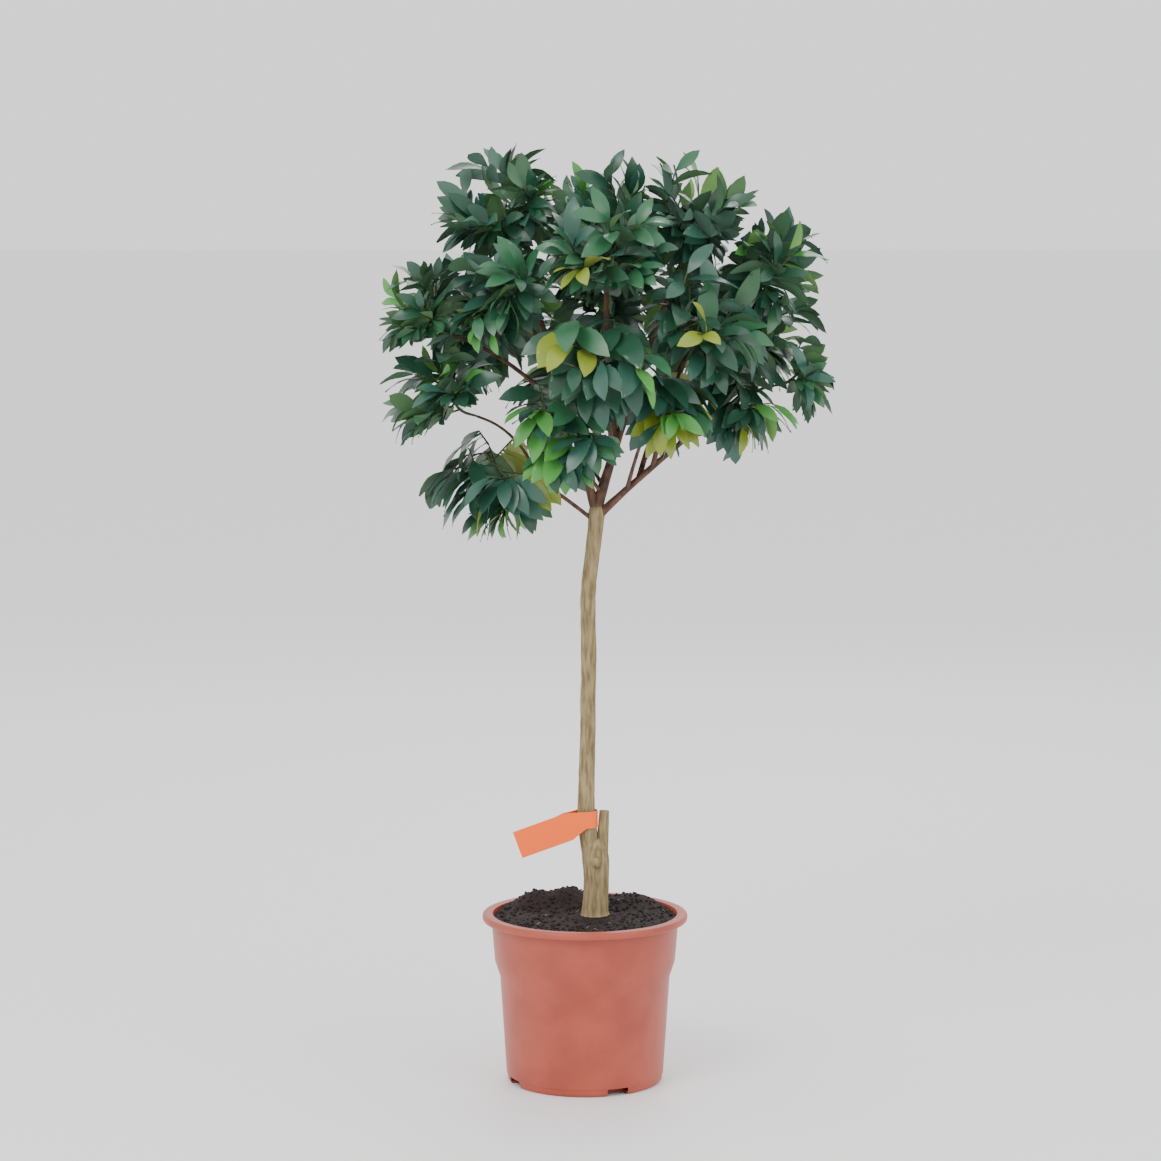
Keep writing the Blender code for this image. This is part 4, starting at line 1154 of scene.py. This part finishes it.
def tag_corners(path, i):
    """The four corners of the strip's section at a point of its path."""
    point = path[i]
    run = (path[min(i + 1, len(path) - 1)] - path[max(i - 1, 0)]).normalized()
    normal = Vector((run.y, -run.x, 0))
    left = max(0.0, TAG_LOOP_X - point.x)
    turned_by = min(1.0, left / TAG_TURN_RUN)
    width = TAG_LOOP_WIDTH + (TAG_WIDTH - TAG_LOOP_WIDTH) * turned_by
    tilt = TAG_TILT * turned_by
    up = Vector((-math.sin(tilt), 0, math.cos(tilt))) * width
    middle = Vector((point.x, point.y, TAG_LOOP_HEIGHT - left * math.tan(TAG_TILT)))
    halves = [(side, face) for side in (-0.5, 0.5) for face in (-0.5, 0.5)]
    return [middle + normal * face * TAG_THICKNESS + up * side for side, face in halves]


def tag_shape():
    """The strip as one closed band with flat ends."""
    path = smooth_line([Vector((p.x, p.y, 0)) for p in tag_path()], TAG_SKIN_STEPS)
    corners = [corner for i in range(len(path)) for corner in tag_corners(path, i)]
    faces = [(0, 1, 3, 2)]
    for i in range(0, 4 * (len(path) - 1), 4):
        ring = [i, i + 1, i + 3, i + 2]
        faces += [(b, c, c + 4, b + 4) for b, c in zip(ring, ring[1:] + ring[:1])]
    last = 4 * (len(path) - 1)
    faces.append((last, last + 1, last + 3, last + 2))
    return corners, faces, 0


class PlantSizes(bpy.types.PropertyGroup):
    """Sizes of the plant's detail."""

    trunk_relief: bpy.props.FloatProperty(
        name="Trunk relief", description="Depth of the bark's fissures", default=0.0011, unit="LENGTH"
    )
    limb_relief: bpy.props.FloatProperty(
        name="Limb relief", description="Unevenness of the young bark", default=0.0003, unit="LENGTH"
    )
    fruit_length: bpy.props.FloatProperty(
        name="Fruit length", description="Length of an unripe fruit", default=FRUIT_LENGTH, unit="LENGTH"
    )


class PotColours(bpy.types.PropertyGroup):
    """Colours of the pot and the tag."""

    plastic: bpy.props.FloatVectorProperty(
        name="Pot", description="Colour of the pot's plastic", default=linear("#a94a36"), subtype="COLOR"
    )
    mottle: bpy.props.FloatVectorProperty(
        name="Mottle", description="Colour of its darker patches", default=linear("#9a3f2d"), subtype="COLOR"
    )
    film: bpy.props.FloatVectorProperty(
        name="Tag", description="Colour of the tag's film", default=linear("#ff6500"), subtype="COLOR"
    )


class StageSizes(bpy.types.PropertyGroup):
    """Place of the camera that matches the photograph."""

    distance: bpy.props.FloatProperty(
        name="Distance", description="How far the camera stands off", default=3.6, unit="LENGTH"
    )
    height: bpy.props.FloatProperty(
        name="Height", description="Height of the camera", default=0.942, unit="LENGTH"
    )
    pitch: bpy.props.FloatProperty(
        name="Pitch", description="How far it looks down", default=math.radians(6.37), subtype="ANGLE"
    )
    lens: bpy.props.FloatProperty(
        name="Lens", description="Focal length in millimetres", default=105.8, unit="CAMERA"
    )


class KUMQUAT_OT_wood(bpy.types.Operator):
    """Builds the trunk, its stub and knot, and the limbs, with the bark's relief"""

    bl_idname = "kumquat.wood"
    bl_label = "Trunk and limbs"

    def execute(self, context):
        sizes = context.scene.kumquat_plant
        # Grey-tan bark, weathered and matt: cork fissures 3 mm apart, drawn out along the trunk
        old_bark = mottled_material(
            "weathered_cork_bark",
            linear("#6b5a3c"),
            linear("#9a8862"),
            grain_mm=3.333,
            roughness=0.85,
            stretch=(1, 1, 0.16),
            relief=(0.5, 0.0008),
        )
        # Red-brown bark of young wood: still smooth, with a dull shine and a slight mottle
        young_bark = mottled_material(
            "smooth_young_bark",
            linear("#33241a"),
            linear("#6b4632"),
            grain_mm=5.556,
            roughness=0.7,
            stretch=(1, 1, 0.5),
            relief=(0.2, 0.0005),
        )
        shapes = bark_shapes(sizes.trunk_relief, sizes.limb_relief)
        wood = closed_piece("wood", shapes, [old_bark, young_bark])
        fit_to_frame(wood, WOOD_NODES)
        return {"FINISHED"}


class KUMQUAT_OT_crown(bpy.types.Operator):
    """Grows the twigs, the leaves and the fruit of every mass of foliage"""

    bl_idname = "kumquat.crown"
    bl_label = "Twigs, leaves and fruit"

    def execute(self, context):
        sizes = context.scene.kumquat_plant
        # Leathery evergreen leaves: a waxy upper side that takes a soft sheen, a duller, paler underside
        materials = []
        for name, above, below in LEAF_TONES:
            materials.append(plain_material(name, linear(above), 0.33))
            materials.append(plain_material(name + "_under", linear(below), 0.55))
        # Green bark of this year's twigs: a matt, dull olive between the leaves
        twig_bark = plain_material("green_twig_bark", linear("#3a4a2a"), 0.6)
        # Peel of unripe fruit: dark and glossy, with oil glands about 1 mm apart
        peel = mottled_material(
            "unripe_peel",
            linear("#173a22"),
            linear("#1f4a2b"),
            grain_mm=1.111,
            roughness=0.35,
            relief=(0.3, 0.0003),
        )
        routes = limb_routes()
        limbs = limbs_tree(routes)
        twigs, leaves, fruits = [], [], []
        for number, mass in enumerate(MASSES):
            parts = dress_mass(number, mass, routes, limbs, sizes.fruit_length)
            for whole, part in zip((twigs, leaves, fruits), parts):
                whole += part
        sides = 2 * LEAVES_IN_PIECE
        for number, first in enumerate(range(0, len(leaves), sides), 1):
            points, faces, indices = gather(leaves[first : first + sides])
            crown = piece(f"leaves_{number}", points, faces, materials, indices)
            fit_to_frame(crown, [] if first else FOLIAGE_NODES)
        fit_to_frame(closed_piece("twigs", twigs, [twig_bark]), [])
        fit_to_frame(closed_piece("fruit", fruits, [peel]), [])
        return {"FINISHED"}


class KUMQUAT_OT_pot(bpy.types.Operator):
    """Builds the nursery pot with its rolled rim, collar, step and drain notches"""

    bl_idname = "kumquat.pot"
    bl_label = "Pot"

    def execute(self, context):
        colours = context.scene.kumquat_pot
        # Injection-moulded polypropylene: an even satin skin, with a faint mottle 45 mm across
        plastic = mottled_material(
            "moulded_polypropylene", colours.mottle, colours.plastic, grain_mm=45.45, roughness=0.42
        )
        pot = closed_piece("nursery_pot", [(*turned(pot_profile(), POT_SKIN_SEGMENTS), 0)], [plastic])
        cutters = [drain_cutter(k) for k in range(DRAIN_COUNT)]
        for cutter in cutters:
            cut = pot.modifiers.new("drain", "BOOLEAN")
            cut.operation, cut.object, cut.solver = "DIFFERENCE", cutter, "EXACT"
        graph = context.evaluated_depsgraph_get()
        mesh = bpy.data.meshes.new_from_object(pot.evaluated_get(graph))
        pot.modifiers.clear()
        pot.data = mesh
        for cutter in cutters:
            bpy.data.objects.remove(cutter)
        mesh.set_sharp_from_angle(angle=POT_CREASE)
        fit_to_frame(pot, ["pot"])
        return {"FINISHED"}


class KUMQUAT_OT_soil(bpy.types.Operator):
    """Builds the peat with its crumbs and fibres"""

    bl_idname = "kumquat.soil"
    bl_label = "Soil"

    def execute(self, context):
        # Moist peat, sieved: nearly black and matt, in crumbs of about 2 mm
        peat = mottled_material(
            "moist_sieved_peat",
            linear("#120a0a"),
            linear("#2a1a18"),
            grain_mm=2.381,
            roughness=0.95,
            relief=(0.8, 0.001),
        )
        # Dry plant fibres, bleached: pale, matt flecks on the peat
        fibre = plain_material("bleached_plant_fibre", linear("#a89f8f"), 0.8)
        edge = COLLAR_TOP_RADIUS - WALL - PEAT_CLEARANCE
        soil = closed_piece("peat", [peat_surface(edge)] + peat_crumbs(edge), [peat, fibre])
        fit_to_frame(soil, ["soil"])
        return {"FINISHED"}


class KUMQUAT_OT_tag(bpy.types.Operator):
    """Builds the bare orange strip that is looped round the trunk"""

    bl_idname = "kumquat.tag"
    bl_label = "Tag"

    def execute(self, context):
        # Extruded polypropylene film: smooth, with a slight gloss
        film = plain_material("extruded_film", context.scene.kumquat_pot.film, 0.35)
        strip = closed_piece("tag_strip", [tag_shape()], [film], smooth=False)
        fit_to_frame(strip, ["tag"])
        return {"FINISHED"}


class KUMQUAT_OT_stage(bpy.types.Operator):
    """Adds the pale floor, the soft lights and the camera"""

    bl_idname = "kumquat.stage"
    bl_label = "Stage"

    def execute(self, context):
        sizes = context.scene.kumquat_stage
        # Matt studio paper: a pale ground without a shine
        paper = plain_material("matt_studio_paper", linear("#f4f4f4"), 0.6)
        floor = piece("floor", FLOOR_CORNERS, [(0, 1, 2, 3)], [paper], smooth=False)
        world = bpy.data.worlds.new("studio")
        context.scene.world = world
        world.use_nodes = True
        sky = world.node_tree.nodes["Background"]
        sky.inputs["Color"].default_value = (1, 1, 1, 1)
        sky.inputs["Strength"].default_value = WORLD_LIGHT
        for name, spot, power, size in LAMPS:
            data = bpy.data.lights.new(name, "AREA")
            data.energy, data.size = power, size
            lamp = bpy.data.objects.new(name, data)
            lamp.location = spot
            lamp.rotation_euler = (LAMP_TARGET - Vector(spot)).to_track_quat("-Z", "Y").to_euler()
            context.scene.collection.objects.link(lamp)
        data = bpy.data.cameras.new("camera")
        data.lens = sizes.lens
        data.sensor_width = SENSOR_WIDTH
        camera = bpy.data.objects.new("camera", data)
        camera.location = (CAMERA_ASIDE, -sizes.distance, sizes.height)
        camera.rotation_euler = (math.pi / 2 - sizes.pitch, 0, 0)
        context.scene.collection.objects.link(camera)
        context.scene.camera = camera
        return {"FINISHED"}


class KUMQUAT_PT_sidebar(bpy.types.Panel):
    """Lists the pieces of the plant"""

    bl_idname = "KUMQUAT_PT_sidebar"
    bl_label = "Kumquat in a pot"
    bl_space_type = "VIEW_3D"
    bl_region_type = "UI"
    bl_category = "Kumquat"

    def draw(self, context):
        for group in (context.scene.kumquat_plant, context.scene.kumquat_pot, context.scene.kumquat_stage):
            for name in group.bl_rna.properties.keys():
                if name not in {"rna_type", "name"}:
                    self.layout.prop(group, name)
        for operator in OPERATORS:
            self.layout.operator(operator.bl_idname)


OPERATORS = (
    KUMQUAT_OT_wood,
    KUMQUAT_OT_crown,
    KUMQUAT_OT_pot,
    KUMQUAT_OT_soil,
    KUMQUAT_OT_tag,
    KUMQUAT_OT_stage,
)
CLASSES = (PlantSizes, PotColours, StageSizes, *OPERATORS, KUMQUAT_PT_sidebar)


def register():
    for made in CLASSES:
        bpy.utils.register_class(made)
    bpy.types.Scene.kumquat_plant = bpy.props.PointerProperty(type=PlantSizes)
    bpy.types.Scene.kumquat_pot = bpy.props.PointerProperty(type=PotColours)
    bpy.types.Scene.kumquat_stage = bpy.props.PointerProperty(type=StageSizes)


def unregister():
    del bpy.types.Scene.kumquat_stage
    del bpy.types.Scene.kumquat_pot
    del bpy.types.Scene.kumquat_plant
    for made in reversed(CLASSES):
        bpy.utils.unregister_class(made)


def main():
    register()
    bpy.ops.kumquat.wood()
    bpy.ops.kumquat.crown()
    bpy.ops.kumquat.pot()
    bpy.ops.kumquat.soil()
    bpy.ops.kumquat.tag()
    bpy.ops.kumquat.stage()


if __name__ == "__main__":
    main()
